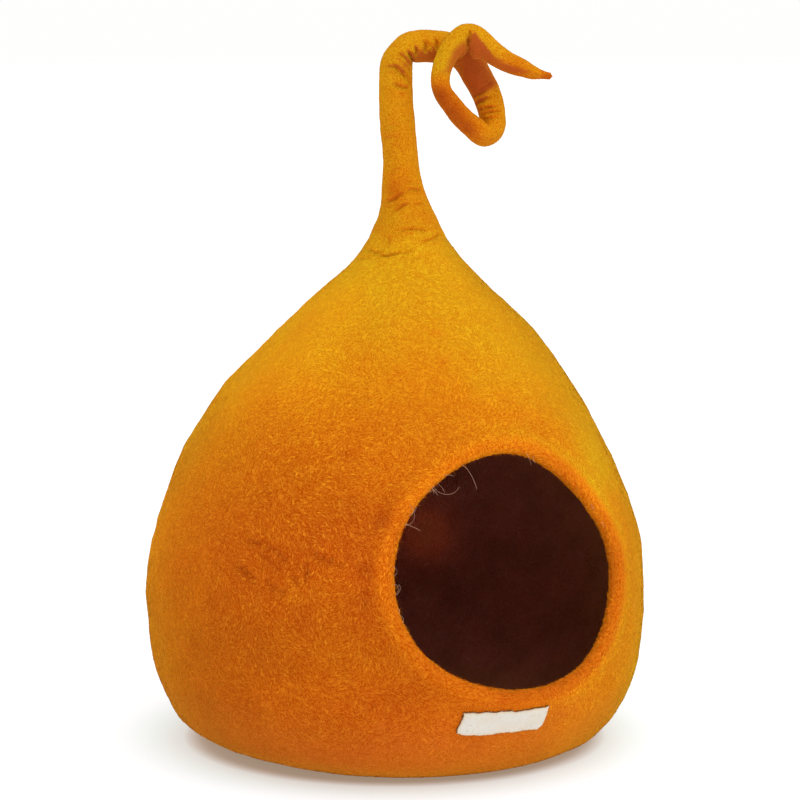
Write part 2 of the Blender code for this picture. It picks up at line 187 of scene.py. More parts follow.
# Creases of the neck and body. Each line: depth, half width, and its places, which are pairs of
# degrees round from the entrance and height.
WALL_CREASES = (
    (0.0018, 0.0014, ((-80, 0.4550), (-66, 0.4566), (-52, 0.4586), (-38, 0.4618), (-26, 0.4640))),
    (0.0010, 0.0013, ((-20, 0.4655), (0, 0.4662), (30, 0.4650))),
    (0.0014, 0.0013, ((-62, 0.4475), (-46, 0.4500), (-32, 0.4535), (-18, 0.4545))),
    (0.0008, 0.0013, ((-10, 0.4537), (8, 0.4542), (24, 0.4551))),
    (0.0012, 0.0013, ((-50, 0.4318), (-34, 0.4339), (-20, 0.4346), (-6, 0.4335), (8, 0.4322))),
    (0.0009, 0.0010, ((-63, 0.4292), (-59, 0.4250), (-54, 0.4205))),
    (0.0014, 0.0012, ((-95, 0.4158), (-84, 0.4160), (-70, 0.4145), (-58, 0.4128), (-46, 0.4148),
                      (-31, 0.4160), (-20, 0.4182))),
    (0.0010, 0.0012, ((-14, 0.4215), (-4, 0.4244), (10, 0.4262), (24, 0.4285), (40, 0.4290))),
    (0.0008, 0.0010, ((-98, 0.4085), (-86, 0.4102), (-74, 0.4096))),
    (0.0005, 0.0010, ((-41, 0.4131), (-29, 0.4108), (-18, 0.4111), (-11, 0.4126))),
    (0.0004, 0.0010, ((-43, 0.3970), (-34, 0.3981), (-26, 0.3975), (-18, 0.3968), (-10, 0.3974))),
    (0.0007, 0.0010, ((-11, 0.4707), (1, 0.4732))),
    (0.0006, 0.0010, ((-68, 0.4798), (-40, 0.4829), (-23, 0.4838))),
    (0.0008, 0.0009, ((9, 0.4502), (13, 0.4450))),
    (0.0008, 0.0009, ((27, 0.4300), (31, 0.4366))),
    (0.0013, 0.0014, ((70, 0.4600), (100, 0.4570), (135, 0.4590), (160, 0.4630))),
    (0.0011, 0.0013, ((95, 0.4420), (125, 0.4390), (150, 0.4410), (185, 0.4370))),
    (0.0014, 0.0014, ((75, 0.4210), (105, 0.4180), (140, 0.4200), (175, 0.4240), (205, 0.4220))),
    (0.0010, 0.0013, ((185, 0.4520), (215, 0.4490), (245, 0.4530))),
    (0.0008, 0.0014, ((110, 0.4040), (140, 0.4020), (170, 0.4060))),
    (0.0010, 0.0020, ((-67.0, 0.2000), (-61.7, 0.1977), (-58.3, 0.1959), (-56.5, 0.1940))),
    (0.0011, 0.0019, ((-57.8, 0.1938), (-56.1, 0.1897), (-54.5, 0.1865))),
    (0.0010, 0.0020, ((-62.8, 0.1920), (-60.1, 0.1877), (-57.5, 0.1825), (-56.0, 0.1800))),
    (0.0011, 0.0019, ((-49.8, 0.1970), (-47.2, 0.1924), (-44.9, 0.1903), (-42.0, 0.1866))),
    (0.0009, 0.0020, ((-50.6, 0.1900), (-50.0, 0.1810), (-50.2, 0.1718))),
    (0.0010, 0.0022, ((-68.6, 0.1820), (-65.5, 0.1765), (-62.2, 0.1693))),
    (0.0009, 0.0021, ((-60.3, 0.1724), (-57.3, 0.1666), (-54.3, 0.1638))),
    (0.0009, 0.0022, ((-54.5, 0.1790), (-52.5, 0.1740), (-51.4, 0.1700))),
    (0.0012, 0.0013, ((-37.4, 0.1834), (-36.6, 0.1825), (-35.9, 0.1822))),
    (0.0010, 0.0011, ((-35.8, 0.1809), (-34.8, 0.1800))),
    (0.0009, 0.0012, ((-38.6, 0.1888), (-37.8, 0.1872), (-37.2, 0.1856))),
    (0.0010, 0.0012, ((-36.9, 0.1700), (-36.5, 0.1678))),
    (0.0009, 0.0012, ((-36.9, 0.1604), (-36.6, 0.1560))),
    (0.0007, 0.0012, ((-34.8, 0.2212), (-33.2, 0.2200))),
    (0.0003, 0.0030, ((-116, 0.2870), (-106, 0.2925), (-96, 0.3035))),
    (0.0003, 0.0030, ((-108, 0.2757), (-98, 0.2847), (-91, 0.2941))),
    (0.0004, 0.0060, ((75, 0.2250), (84, 0.2190), (93, 0.2200))),
    (0.0004, 0.0060, ((118, 0.1720), (127, 0.1660), (137, 0.1690), (145, 0.1650))),
    (0.0004, 0.0060, ((162, 0.2420), (172, 0.2350), (183, 0.2370))),
    (0.0004, 0.0060, ((205, 0.1450), (214, 0.1390), (224, 0.1410))),
    (0.0004, 0.0060, ((236, 0.2060), (245, 0.1990), (254, 0.2010))),
)
# Creases of the tail. Each line: depth, half width, and its places, which are run along the
# tail's plane, offset in front of it and height.
TAIL_CREASES = (
    (0.0022, 0.0016, ((0.0087, 0.0132, 0.5794), (0.0107, 0.0118, 0.5758), (0.0144, 0.0018, 0.5711))),
    (0.0020, 0.0015, ((0.0156, 0.0120, 0.5835), (0.0160, 0.0115, 0.5794), (0.0148, 0.0101, 0.5740))),
    (0.0022, 0.0015, ((0.0222, 0.0092, 0.5890), (0.0243, 0.0097, 0.5843), (0.0230, 0.0095, 0.5780))),
    (0.0018, 0.0013, ((0.0251, 0.0084, 0.5893), (0.0267, 0.0087, 0.5859), (0.0275, 0.0089, 0.5815))),
    (0.0022, 0.0015, ((0.0318, 0.0059, 0.5895), (0.0333, 0.0064, 0.5863), (0.0329, 0.0070, 0.5810))),
    (0.0017, 0.0014, ((0.0010, 0.0137, 0.5788), (0.0050, 0.0130, 0.5745), (0.0116, 0.0053, 0.5660))),
    (0.0018, 0.0014, ((-0.0030, 0.0137, 0.5700), (0.0050, 0.0124, 0.5607), (0.0118, 0.0050, 0.5505))),
    (0.0013, 0.0013, ((-0.0090, 0.0105, 0.5668), (-0.0016, 0.0137, 0.5660), (0.0045, 0.0127, 0.5560))),
    (0.0014, 0.0014, ((-0.0045, 0.0135, 0.5532), (0.0033, 0.0131, 0.5500), (0.0098, 0.0088, 0.5484))),
    (0.0004, 0.0012, ((-0.0107, 0.0087, 0.5158), (-0.0041, 0.0136, 0.5186), (0.0070, 0.0130, 0.5172))),
    (0.0004, 0.0012, ((-0.0110, 0.0072, 0.5062), (-0.0041, 0.0133, 0.5096), (0.0060, 0.0136, 0.5072))),
    (0.0014, 0.0013, ((0.0665, -0.0020, 0.5462), (0.0720, -0.0010, 0.5494), (0.0787, -0.0044, 0.5540))),
    (0.0016, 0.0013, ((0.0636, -0.0074, 0.5409), (0.0704, -0.0011, 0.5452), (0.0775, -0.0020, 0.5500))),
    (0.0016, 0.0013, ((0.0650, -0.0083, 0.5343), (0.0712, -0.0006, 0.5387), (0.0785, 0.0001, 0.5427))),
    (0.0016, 0.0012, ((0.0682, -0.0035, 0.5296), (0.0753, 0.0021, 0.5332), (0.0830, 0.0020, 0.5336))),
    (0.0016, 0.0012, ((0.0698, -0.0014, 0.5262), (0.0777, 0.0037, 0.5294), (0.0868, 0.0008, 0.5302))),
    (0.0010, 0.0012, ((0.0721, 0.0010, 0.5235), (0.0785, 0.0058, 0.5245), (0.0852, 0.0040, 0.5253))),
    (0.0034, 0.0012, ((0.0606, 0.0236, 0.5990), (0.0596, 0.0232, 0.5945),
                      (0.0584, 0.0222, 0.5876), (0.0566, 0.0190, 0.5830),
                      (0.0530, 0.0170, 0.5785), (0.0495, 0.0150, 0.5738))),
    (0.0010, 0.0016, ((-0.0080, -0.0110, 0.5600), (0.0000, -0.0138, 0.5640), (0.0080, -0.0110, 0.5590))),
    (0.0010, 0.0016, ((0.0200, -0.0165, 0.5850), (0.0220, -0.0175, 0.5800), (0.0230, -0.0150, 0.5740))),
    (0.0010, 0.0016, ((0.0400, -0.0228, 0.5840), (0.0420, -0.0232, 0.5790), (0.0420, -0.0210, 0.5740))),
)

# Soft pushes that round off or fill out the tail. Columns: place in run, front and height, its
# radius, and the push in run, front and height.
PUSHES = (
    ((-0.007, 0.000, 0.590), 0.0150, (0.0022, 0.0000, -0.0021)),
    ((0.060, 0.013, 0.579), 0.0080, (0.0000, 0.0015, -0.0075)),
)
# Patches on the wall with more (+) or less (-) gold. The broad golden ones on the flanks are
# painted sheen. Columns: degrees round from the entrance, height, radius, amount.
GOLD_AND_SHEEN_PATCHES = (
    (-36.7, 0.183, 0.007, -0.26),
    (-36.6, 0.166, 0.005, -0.20),
    (-33.4, 0.220, 0.007, -0.28),
    (-50.0, 0.144, 0.012, -0.12),
    (-58.0, 0.190, 0.016, -0.08),
    (-44.0, 0.215, 0.022, -0.08),
    (-30.0, 0.075, 0.035, -0.06),
    (-76.0, 0.235, 0.030, 0.10),
    (-14.0, 0.300, 0.030, -0.04),
    (-34.0, 0.275, 0.028, -0.04),
    (-95.0, 0.290, 0.035, 0.10),
    (34.0, 0.250, 0.034, 0.45),
    (12.0, 0.045, 0.025, 0.10),
    (-15.5, 0.356, 0.0045, -0.22),
    (-31.0, 0.329, 0.0045, -0.20),
    (-13.7, 0.335, 0.0050, -0.22),
    (-44.0, 0.270, 0.0060, -0.22),
)
# Facets of the tail painted in smooth brown shade, in its plane. Columns: run, height. The front
# one lies right of the fold and under its top line, the back one above its foot line.
FOLD_LINE = ((0.0496, 0.5740), (0.0580, 0.5840), (0.0617, 0.5957))
FRONT_FACET_TOP = ((0.0630, 0.5958), (0.0723, 0.5848), (0.0815, 0.5727), (0.0916, 0.5623))
BACK_FACET_FOOT = ((0.0638, 0.5400), (0.0830, 0.5510))
# Painted light (+) and painted shade (-) on the tail, as more or less gold. Columns: run, front,
# height, radius, amount.
TAIL_LIGHT_AND_SHADE = (
    (0.0360, 0.0220, 0.5730, 0.0120, 0.35),
    (0.0500, 0.0220, 0.5880, 0.0080, 0.20),
    (0.0350, 0.0210, 0.5440, 0.0105, -1.00),
    (0.0470, 0.0200, 0.5290, 0.0115, -1.05),
    (0.0590, 0.0190, 0.5160, 0.0095, -0.85),
    (0.0960, 0.0150, 0.5620, 0.0120, -0.75),
    (0.1240, 0.0080, 0.5590, 0.0080, -0.95),
    (-0.0020, 0.0150, 0.4670, 0.0085, -0.50),
)

# Label: size, gap to the felt, its middle's height and place beside the entrance's middle, and
# how it lies. Then its divisions, and what runs along its edge.
LABEL_WIDTH = 0.0713
LABEL_HEIGHT = 0.0190
LABEL_GAP = 0.0004
LABEL_ASIDE = -0.0232
LABEL_MIDDLE_HEIGHT = 0.0627
LABEL_SLOPE = -0.055
LABEL_SHEAR = 0.31
LABEL_COLUMNS = 110
LABEL_ROWS = 34
THREAD_PITCH = 0.00055
STITCH_INSET = 0.0017
# Tufts in the painted shadow line under the label's edge.
EDGE_SHADOW_TUFTS = 420
FRAYED_THREADS = 210

# Painted pool of light on the hollow's back wall: its middle in run, front and height, its
# radius, and how much more red, green and blue it has.
HOLLOW_LIGHT_POOL = (0.026, -0.202, 0.134)
HOLLOW_LIGHT_RADIUS = 0.025
HOLLOW_LIGHT_TINT = np.array([1.8, 1.0, 0.2])

# Painted shadow on the floor: its glow is weaker and warmer round the cave, on ovals this much
# longer along the tail's run. Columns: distance across the run in metres, then red, green and
# blue against the full glow.
FLOOR_SHADOW_OVAL = 1.13
FLOOR_SHADOW_TINTS = (
    (0.000, 0.38, 0.29, 0.21),
    (0.145, 0.41, 0.32, 0.23),
    (0.149, 0.48, 0.39, 0.30),
    (0.155, 0.64, 0.58, 0.51),
    (0.160, 0.77, 0.79, 0.74),
    (0.180, 0.81, 0.88, 0.85),
    (0.198, 0.87, 0.93, 0.94),
    (0.225, 1.00, 1.00, 1.00),
)

# Direction that the wide light comes from, and the place that the camera looks at.
TOP_LIGHT_FROM = (0.08, -0.60, 0.95)
CAMERA_AIM = (0.0022, -0.00125, 0.2882)

RUN_AXIS = np.array([np.cos(TAIL_TURN), np.sin(TAIL_TURN), 0.0])
FRONT_AXIS = np.array([np.sin(TAIL_TURN), -np.cos(TAIL_TURN), 0.0])
UP_AXIS = np.array([0.0, 0.0, 1.0])

# What one step of a lighter tuft, or of a darker tuft of painted shade, does to the logarithms
# of red, green and blue.
LIGHT_CHANGE = np.array([0.07, 0.19, 0.20])
DARK_CHANGE = np.array([0.075, 0.19, 0.50])

# Zones of the skin, and in each of them the strength of its marks and how densely tufts lie.
OUTSIDE, TAIL, INSIDE, EDGE, BASE = range(5)
ZONE_MARKS = np.array([1.0, 0.6, 0.4, 0.8, 1.0])
ZONE_TUFTS = np.array([1.0, 2.0, 0.12, 2.2, 0.0])
# Distance between the dark tufts of painted shade along a crease.
CREASE_TUFT_SPACING = 0.0009


# --- Shapes ---


def ease(t):
    """0 below 0, 1 above 1, and between them the curve 3t² − 2t³."""
    t = np.clip(t, 0, 1)
    return t * t * (3 - 2 * t)


def window(value, start, over, end, fading):
    """1 well between start and end: it eases up over one width after the start and down over
    another before the end."""
    return ease((value - start) / over) * ease((end - value) / fading)


def hump(t):
    """A bell curve, e to the power of minus t squared: 1 at 0."""
    return np.exp(-np.asarray(t) ** 2)


def unit(vectors):
    """Each vector divided by its length."""
    return vectors / np.maximum(np.linalg.norm(vectors, axis=-1, keepdims=True), 1e-12)


def smooth_through(places, values, at, first_slope=None):
    """Cubic pieces through the values, each knot's slope taken from its two neighbours."""
    slopes = np.gradient(values, axis=0) / np.gradient(places)[:, None]
    if first_slope is not None:
        slopes[0] = first_slope
    at = np.asarray(at, float)
    k = np.clip(np.searchsorted(places, at, side="right") - 1, 0, len(places) - 2)
    gap = (places[k + 1] - places[k])[..., None]
    t = (at[..., None] - places[k][..., None]) / gap
    start = values[k] * (1 + 2 * t) * (1 - t) ** 2 + slopes[k] * gap * t * (1 - t) ** 2
    end = values[k + 1] * t * t * (3 - 2 * t) + slopes[k + 1] * gap * t * t * (t - 1)
    return start + end


def in_tail_frame(places):
    """Places or steps given as run, offset in front and height, turned into the frame's axes."""
    table = np.atleast_2d(np.asarray(places, float))
    return table[:, :1] * RUN_AXIS + table[:, 1:2] * FRONT_AXIS + table[:, 2:3] * UP_AXIS


def chord_lengths(points):
    """Distance travelled along a run of points, starting at zero."""
    steps = np.linalg.norm(np.diff(points, axis=0), axis=1)
    return np.concatenate([[0.0], np.cumsum(steps)])


def rounded_levels(spacing=0.002, reach=0.008):
    """The body's levels divided finely and rounded: each place moves to the mean of those round
    it, weighted by a bell curve of the distance, but less so close to the two ends."""
    levels = np.array(BODY_LEVELS)
    places = chord_lengths(levels[:, :2])
    at = np.linspace(0, places[-1], int(round(places[-1] / spacing)) + 1)
    fine = smooth_through(places, levels, at, (1.0, 0.0, 0.0))
    weight = np.exp(-(((at[:, None] - at) / reach) ** 2) / 2)
    mean = weight @ fine / weight.sum(axis=1, keepdims=True)
    kept = ease(np.minimum(at, at[-1] - at) / 0.03)[:, None]
    return fine + kept * (mean - fine)


LEVELS = rounded_levels()
LEVEL_ARC = chord_lengths(LEVELS[:, :2])
SIDE_LENGTH = LEVEL_ARC[-1]


def arc_at(height):
    """Arc length up the body's side at a height."""
    return np.interp(height, LEVELS[:, 1], LEVEL_ARC)


def radius_at(height):
    """The body's radius at a height."""
    return np.interp(height, LEVELS[:, 1], LEVELS[:, 0])


ENTRANCE_ARC = arc_at(ENTRANCE_HEIGHT)
ENTRANCE_RADIUS = radius_at(ENTRANCE_HEIGHT)


def unevenness(angle, height):
    """Slow lobes of the wall: cosines round it whose phase turns with height, fading out at the
    floor and at the neck."""
    turn = 2 * np.pi * height / LEVELS[-1, 1]
    total = np.zeros(np.broadcast(angle, height).shape)
    for size, around, turns, phase in WALL_LOBES:
        total += size * np.cos(around * angle + turns * turn + phase)
    return total * ease(np.clip(height / 0.06, 0, 1) * np.clip((0.40 - height) / 0.08, 0, 1))


def oval_bulge(turn):
    """Size of the entrance's edge at an angle round it, against the even oval's: 1 with bell
    curves added."""
    size = np.ones_like(turn)
    for degrees, width, amount in ENTRANCE_BULGES:
        off = (np.degrees(turn) - degrees + 180) % 360 - 180
        size = size + amount * hump(off / width)
    return size


def entrance_distance(angle, arc):
    """How far a place on the wall is outside the edge of the entrance, in metres: the place's
    size against the oval's, less one, times the oval's middle half size."""
    across = angle * ENTRANCE_RADIUS
    along = arc - ENTRANCE_ARC - ENTRANCE_SLANT * across
    middle_size = (ENTRANCE_HALF_WIDTH + ENTRANCE_HALF_HEIGHT) / 2
    x, y = across / ENTRANCE_HALF_WIDTH, along / ENTRANCE_HALF_HEIGHT
    return (np.hypot(x, y) / oval_bulge(np.arctan2(y, x)) - 1) * middle_size


def angle_of(points):
    """Each point's angle round the cave from the entrance, positive towards +X."""
    return np.arctan2(points[:, 0], -points[:, 1])


def past_entrance(points):
    """How far points of the wall are outside the entrance's edge, 0 within it and 1 on the back
    of the cave."""
    angle = angle_of(points)
    away = np.clip(entrance_distance(angle, arc_at(points[:, 2])), 0, None)
    return np.where(np.abs(angle) < 1.4, away, 1.0)


def lip(angle, arc):
    """Swelling of the wall on each side near the entrance: a bell curve of the distance."""
    away = np.clip(entrance_distance(angle, arc), 0, None)
    return LIP_SWELL * hump(away / LIP_REACH)


def bare_wall(angle, arc):
    """Outer side of the body at an angle from the entrance and an arc length up the side: the
    level's radius turned by the angle about the level's leaning centre."""
    radius, height, lean = np.moveaxis(
        smooth_through(LEVEL_ARC, LEVELS, arc, (1.0, 0.0, 0.0)), -1, 0
    )
    radius = radius + unevenness(angle, height)
    x = radius * np.sin(angle) + lean * RUN_AXIS[0]
    y = -radius * np.cos(angle) + lean * RUN_AXIS[1]
    return np.stack([x, y, height], axis=-1)


def wall_normal(angle, arc):
    """Unit normal of the body's outer side: the step round it crossed with the step up it."""
    step = 1e-4
    low = np.clip(arc - step, 0, SIDE_LENGTH)
    high = np.clip(arc + step, 0, SIDE_LENGTH)
    around = bare_wall(angle + step, arc) - bare_wall(angle - step, arc)
    up = bare_wall(angle, high) - bare_wall(angle, low)
    return unit(np.cross(around, up))


def wall(angle, arc, depth):
    """A place in the wall, this deep under its outer side. The lip swells it both ways."""
    angle, arc = np.broadcast_arrays(angle, arc)
    out = lip(angle, arc) * np.clip(1 - 2 * depth / WALL, -1, 1) - depth
    return bare_wall(angle, arc) + out[..., None] * wall_normal(angle, arc)


def round_entrance(angle, arc, half_angle, half_arc):
    """Moves the wall's divisions so that the entrance's block of cells gets an oval edge: a place
    on a square ring moves out or in to the oval ring of the same size, less so further away."""
    across = angle * ENTRANCE_RADIUS / ENTRANCE_HALF_WIDTH
    along = (arc - ENTRANCE_ARC) / ENTRANCE_HALF_HEIGHT
    block = np.maximum(np.abs(angle) / half_angle, np.abs(arc - ENTRANCE_ARC) / half_arc)
    round_size = np.hypot(across, along) / oval_bulge(np.arctan2(along, across))
    round_size = np.maximum(round_size, 1e-9)
    fade = ease((2.1 - block) / 1.1)
    factor = 1 + fade * (block / round_size - 1)
    slant = ENTRANCE_SLANT * fade * angle * factor * ENTRANCE_RADIUS
    return angle * factor, ENTRANCE_ARC + (arc - ENTRANCE_ARC) * factor + slant


def wall_divisions(around, block, above, top_arc):
    """Angles and arc lengths of the wall's grid up to top_arc, with the entrance rounded. Block
    holds the rows below the entrance, its rows and its columns."""
    below, rows, columns = block
    half_angle = columns / 2 * 2 * np.pi / around
    half_arc = 0.84 * ENTRANCE_HALF_HEIGHT
    arcs = np.concatenate([
        np.linspace(0, ENTRANCE_ARC - half_arc, below + 1),
        np.linspace(ENTRANCE_ARC - half_arc, ENTRANCE_ARC + half_arc, rows + 1)[1:],
        np.linspace(ENTRANCE_ARC + half_arc, top_arc, above + 1)[1:],
    ])
    angles = (np.arange(around) - around // 2) * 2 * np.pi / around
    angle, arc = np.meshgrid(angles, arcs)
    return round_entrance(angle, arc, half_angle, half_arc)


def on_wall(degrees, height):
    """The place on the outer side at this many degrees from the entrance and this height. Above
    the body it lies on the tail's upright foot."""
    angle = np.radians(degrees)
    run, _, level, radius = np.array(TAIL_STATIONS[:UPRIGHT_STATIONS]).T
    radius, run = np.interp(height, level, radius), np.interp(height, level, run)
    around = np.stack([np.sin(angle), -np.cos(angle), np.zeros_like(angle)], axis=-1)
    foot = run[:, None] * RUN_AXIS + radius[:, None] * around + height[:, None] * UP_AXIS
    return np.where(height[:, None] > LEVELS[-1, 1], foot, bare_wall(angle, arc_at(height)))


LATTICE_VALUES = 8192


def space_noise(points, cell, seed):
    """Smooth noise from -1 to 1 in space: random values on a lattice of this cell size, blended
    between the eight nearest by 6t⁵ − 15t⁴ + 10t³."""
    values = np.random.default_rng(seed).uniform(-1, 1, LATTICE_VALUES)
    place = points / cell + 100.0
    low = np.floor(place).astype(np.int64)
    t = place - low
    t = t ** 3 * (t * (6 * t - 15) + 10)
    total = np.zeros(points.shape[:-1])
    for corner in np.ndindex(2, 2, 2):
        at = low + corner
        key = (at[..., 0] * 73856093) ^ (at[..., 1] * 19349663) ^ (at[..., 2] * 83492791)
        total += values[key % LATTICE_VALUES] * np.prod(np.where(corner, t, 1 - t), axis=-1)
    return total


def bell(points, middle, radius):
    """A bell curve of the distance from a place: 1 there, and 1/e a radius away."""
    return hump(np.linalg.norm(points - middle, axis=1) / radius)


def line_noise(at, cell, seed):
    """Smooth noise from -1 to 1 along a line."""
    at = np.asarray(at, float)
    return space_noise(np.stack([at, 0 * at, 0 * at], axis=-1), cell, seed)


# --- The felt skin ---


class Surface:
    """Points and faces of one closed mesh, gathered as whole grids and rings. Each face corner
    also gets a place on a flat map: columns go from left to right of a part, rows go up it."""

    def __init__(self):
        self.points, self.zones = [], []
        self.quads, self.triangles = [], []
        self.quad_map, self.triangle_map = [], []
        self.count = 0

    def add(self, points, zone):
        """Takes in points and gives back their numbers, in the same layout."""
        points = np.asarray(points, float)
        numbers = self.count + np.arange(points[..., 0].size).reshape(points.shape[:-1])
        self.points.append(points.reshape(-1, 3))
        self.zones.append(np.full(numbers.size, zone))
        self.count += numbers.size
        return numbers

    def keep_faces(self, faces, places, into, map_into, flip):
        """Puts faces and their map places into their lists, turned over if flip is true."""
        into.append(faces[:, ::-1] if flip else faces)
        map_into.append(places[:, ::-1] if flip else places)

    def keep_triangles(self, faces, across, rows, part, flip):
        """Puts triangles into their list. Across is each corner's place from left to right, and
        rows is 0 at the bottom of the part and 1 at its top."""
        left, bottom, right, top = part
        places = np.stack([across, bottom + (top - bottom) * rows], axis=-1)
        self.keep_faces(faces, places, self.triangles, self.triangle_map, flip)

    def cells(self, grid, part, keep=None, flip=False):
        """Four-sided faces between a grid's rows, which are closed rings."""
        left, bottom, right, top = part
        low, high = grid[:-1], grid[1:]
        faces = np.stack([low, np.roll(low, -1, 1), np.roll(high, -1, 1), high], axis=-1)
        u = np.linspace(left, right, grid.shape[1] + 1)
        v = np.linspace(bottom, top, grid.shape[0])
        corners = np.stack(np.meshgrid(u, v), axis=-1)
        places = np.stack(
            [corners[:-1, :-1], corners[:-1, 1:], corners[1:, 1:], corners[1:, :-1]], axis=-2
        )
        if keep is None:
            keep = np.ones(faces.shape[:2], bool)
        self.keep_faces(faces[keep], places[keep], self.quads, self.quad_map, flip)

    def halve(self, dense, sparse, part, flip=False):
        """Faces from a ring up to one with half its points."""
        a, b, c = dense[::2], dense[1::2], np.roll(dense[::2], -1)
        following = np.roll(sparse, -1)
        faces = np.concatenate([
            np.stack([a, b, sparse], -1),
            np.stack([b, following, sparse], -1),
            np.stack([b, c, following], -1),
        ])
        u = np.linspace(part[0], part[2], len(dense) + 1)
        first, middle, last = u[:-1:2], u[1::2], u[2::2]
        across = np.concatenate([
            np.stack([first, middle, first], -1),
            np.stack([middle, last, first], -1),
            np.stack([middle, last, last], -1),
        ])
        rows = np.array([[0, 0, 1], [0, 1, 1], [0, 0, 1]]).repeat(len(sparse), axis=0)
        self.keep_triangles(faces, across, rows, part, flip)

    def close(self, ring, point, zone, part, flip=False):
        """A fan from a ring up to one point."""
        tip = np.full(len(ring), self.add([point], zone)[0])
        faces = np.stack([ring, np.roll(ring, -1), tip], -1)
        u = np.linspace(part[0], part[2], len(ring) + 1)
        across = np.stack([u[:-1], u[1:], (u[:-1] + u[1:]) / 2], -1)
        self.keep_triangles(faces, across, np.broadcast_to([0, 0, 1], across.shape), part, flip)

    def finished(self):
        """The mesh, with only the points that faces use. Corners are its faces cut into
        triangles."""
        points, zones = np.concatenate(self.points), np.concatenate(self.zones)
        quads, triangles = np.concatenate(self.quads), np.concatenate(self.triangles)
        used = np.zeros(len(points), bool)
        used[quads.ravel()] = True
        used[triangles.ravel()] = True
        renumber = np.cumsum(used) - 1
        quads, triangles = renumber[quads], renumber[triangles]
        places = [x.reshape(-1, 2) for x in (*self.quad_map, *self.triangle_map)]
        return SimpleNamespace(
            points=points[used],
            zones=zones[used],
            quads=quads,
            triangles=triangles,
            corners=np.concatenate([quads[:, [0, 1, 2]], quads[:, [0, 2, 3]], triangles]),
            map=np.concatenate(places),
        )


def entrance_block(shape, below, rows, columns):
    """True for the cells of a wall grid that stay, False in the entrance's block."""
    keep = np.ones((shape[0] - 1, shape[1]), bool)
    first = shape[1] // 2 - columns // 2
    keep[below : below + rows, first : first + columns] = False
    return keep


def entrance_loop(grid, below, rows, columns):
    """The grid's entries round the entrance, in order."""
    left = grid.shape[1] // 2 - columns // 2
    right, top = left + columns, below + rows
    return np.concatenate([
        grid[below, left:right],
        grid[below:top, right],
        grid[top, right:left:-1],
        grid[top:below:-1, left],
    ])


def add_base(surface, ring, centre, zone, part, flip):
    """Rings from the wall's lowest ring to the middle of the floor, in even steps, halved twice
    on the way."""
    left, bottom, right, top = part
    edge = np.concatenate(surface.points)[ring]
    steps = (1.0, 0.86, 0.72, 0.56, 0.40, 0.22)
    last = ring
    for before, step in zip(steps[:-1], steps[1:]):
        strip = (left, bottom + (top - bottom) * step, right, bottom + (top - bottom) * before)
        halving = step in (0.72, 0.40)
        if halving:
            edge = edge[::2]
        inner = surface.add(centre + (edge - centre) * step, zone)
        if halving:
            turned = (left, strip[3], right, strip[1])
            surface.halve(last, inner, turned, flip=not flip)
        else:
            surface.cells(np.stack([inner, last]), strip, flip=flip)
        last = inner
    middle = (left, bottom + (top - bottom) * steps[-1], right, bottom)
    surface.close(last, centre, zone, middle, flip=not flip)


def add_lip(surface, angle, arc, outer, inner):
    """The rounded edge of the entrance: half circles from the wall's outer side to its inner
    side, bulging towards the middle of the opening."""
    outside, inside = wall(angle, arc, 0.0), wall(angle, arc, WALL)
    nearer = wall(angle * 0.98, ENTRANCE_ARC + (arc - ENTRANCE_ARC) * 0.98, WALL / 2)
    inward = unit(nearer - wall(angle, arc, WALL / 2))
    middle, half = (outside + inside) / 2, (outside - inside) / 2
    size = np.linalg.norm(half, axis=1, keepdims=True)
    turn = np.pi * np.arange(1, LIP_STEPS)[:, None, None] / LIP_STEPS
    rings = surface.add(middle + half * np.cos(turn) + inward * size * np.sin(turn), EDGE)
    surface.cells(np.concatenate([outer[None], rings]), MAP_PARTS["edge"])
    surface.halve(rings[-1], inner, MAP_PARTS["edge_end"])


def add_dome(surface, ring):
    """A low dome that closes the hollow under the neck: a quarter circle carried round."""
    left, bottom, right, top = MAP_PARTS["inner_top"]
    edge = np.concatenate(surface.points)[ring]
    centre = edge.mean(axis=0)
    turn = np.pi / 2 * np.arange(1, DOME_RINGS + 1)[:, None, None] / (DOME_RINGS + 1)
    rise = HOLLOW_DOME * np.sin(turn) * UP_AXIS
    rings = surface.add(centre + (edge - centre) * np.cos(turn) + rise, INSIDE)
    split = bottom + (top - bottom) * DOME_RINGS / (DOME_RINGS + 1)
    surface.cells(np.concatenate([ring[None], rings]), (left, bottom, right, split), flip=True)
    peak = centre + HOLLOW_DOME * UP_AXIS
    surface.close(rings[-1], peak, INSIDE, (left, split, right, top), flip=True)


def tail_line(spacing):
    """Even stations along the tail: middle points, tangents, radii and places."""
    table = np.array(TAIL_STATIONS)
    middle = in_tail_frame(table)
    places = chord_lengths(middle)
    at = np.linspace(0, places[-1], int(round(places[-1] / spacing)) + 1)
    line = smooth_through(places, np.concatenate([middle, table[:, 3:]], axis=1), at)
    tangent = unit(np.gradient(line[:, :3], axis=0))
    leaning = ease(at / UPRIGHT_FOOT)[:, None]
    return line[:, :3], unit(UP_AXIS + leaning * (tangent - UP_AXIS)), line[:, 3], at


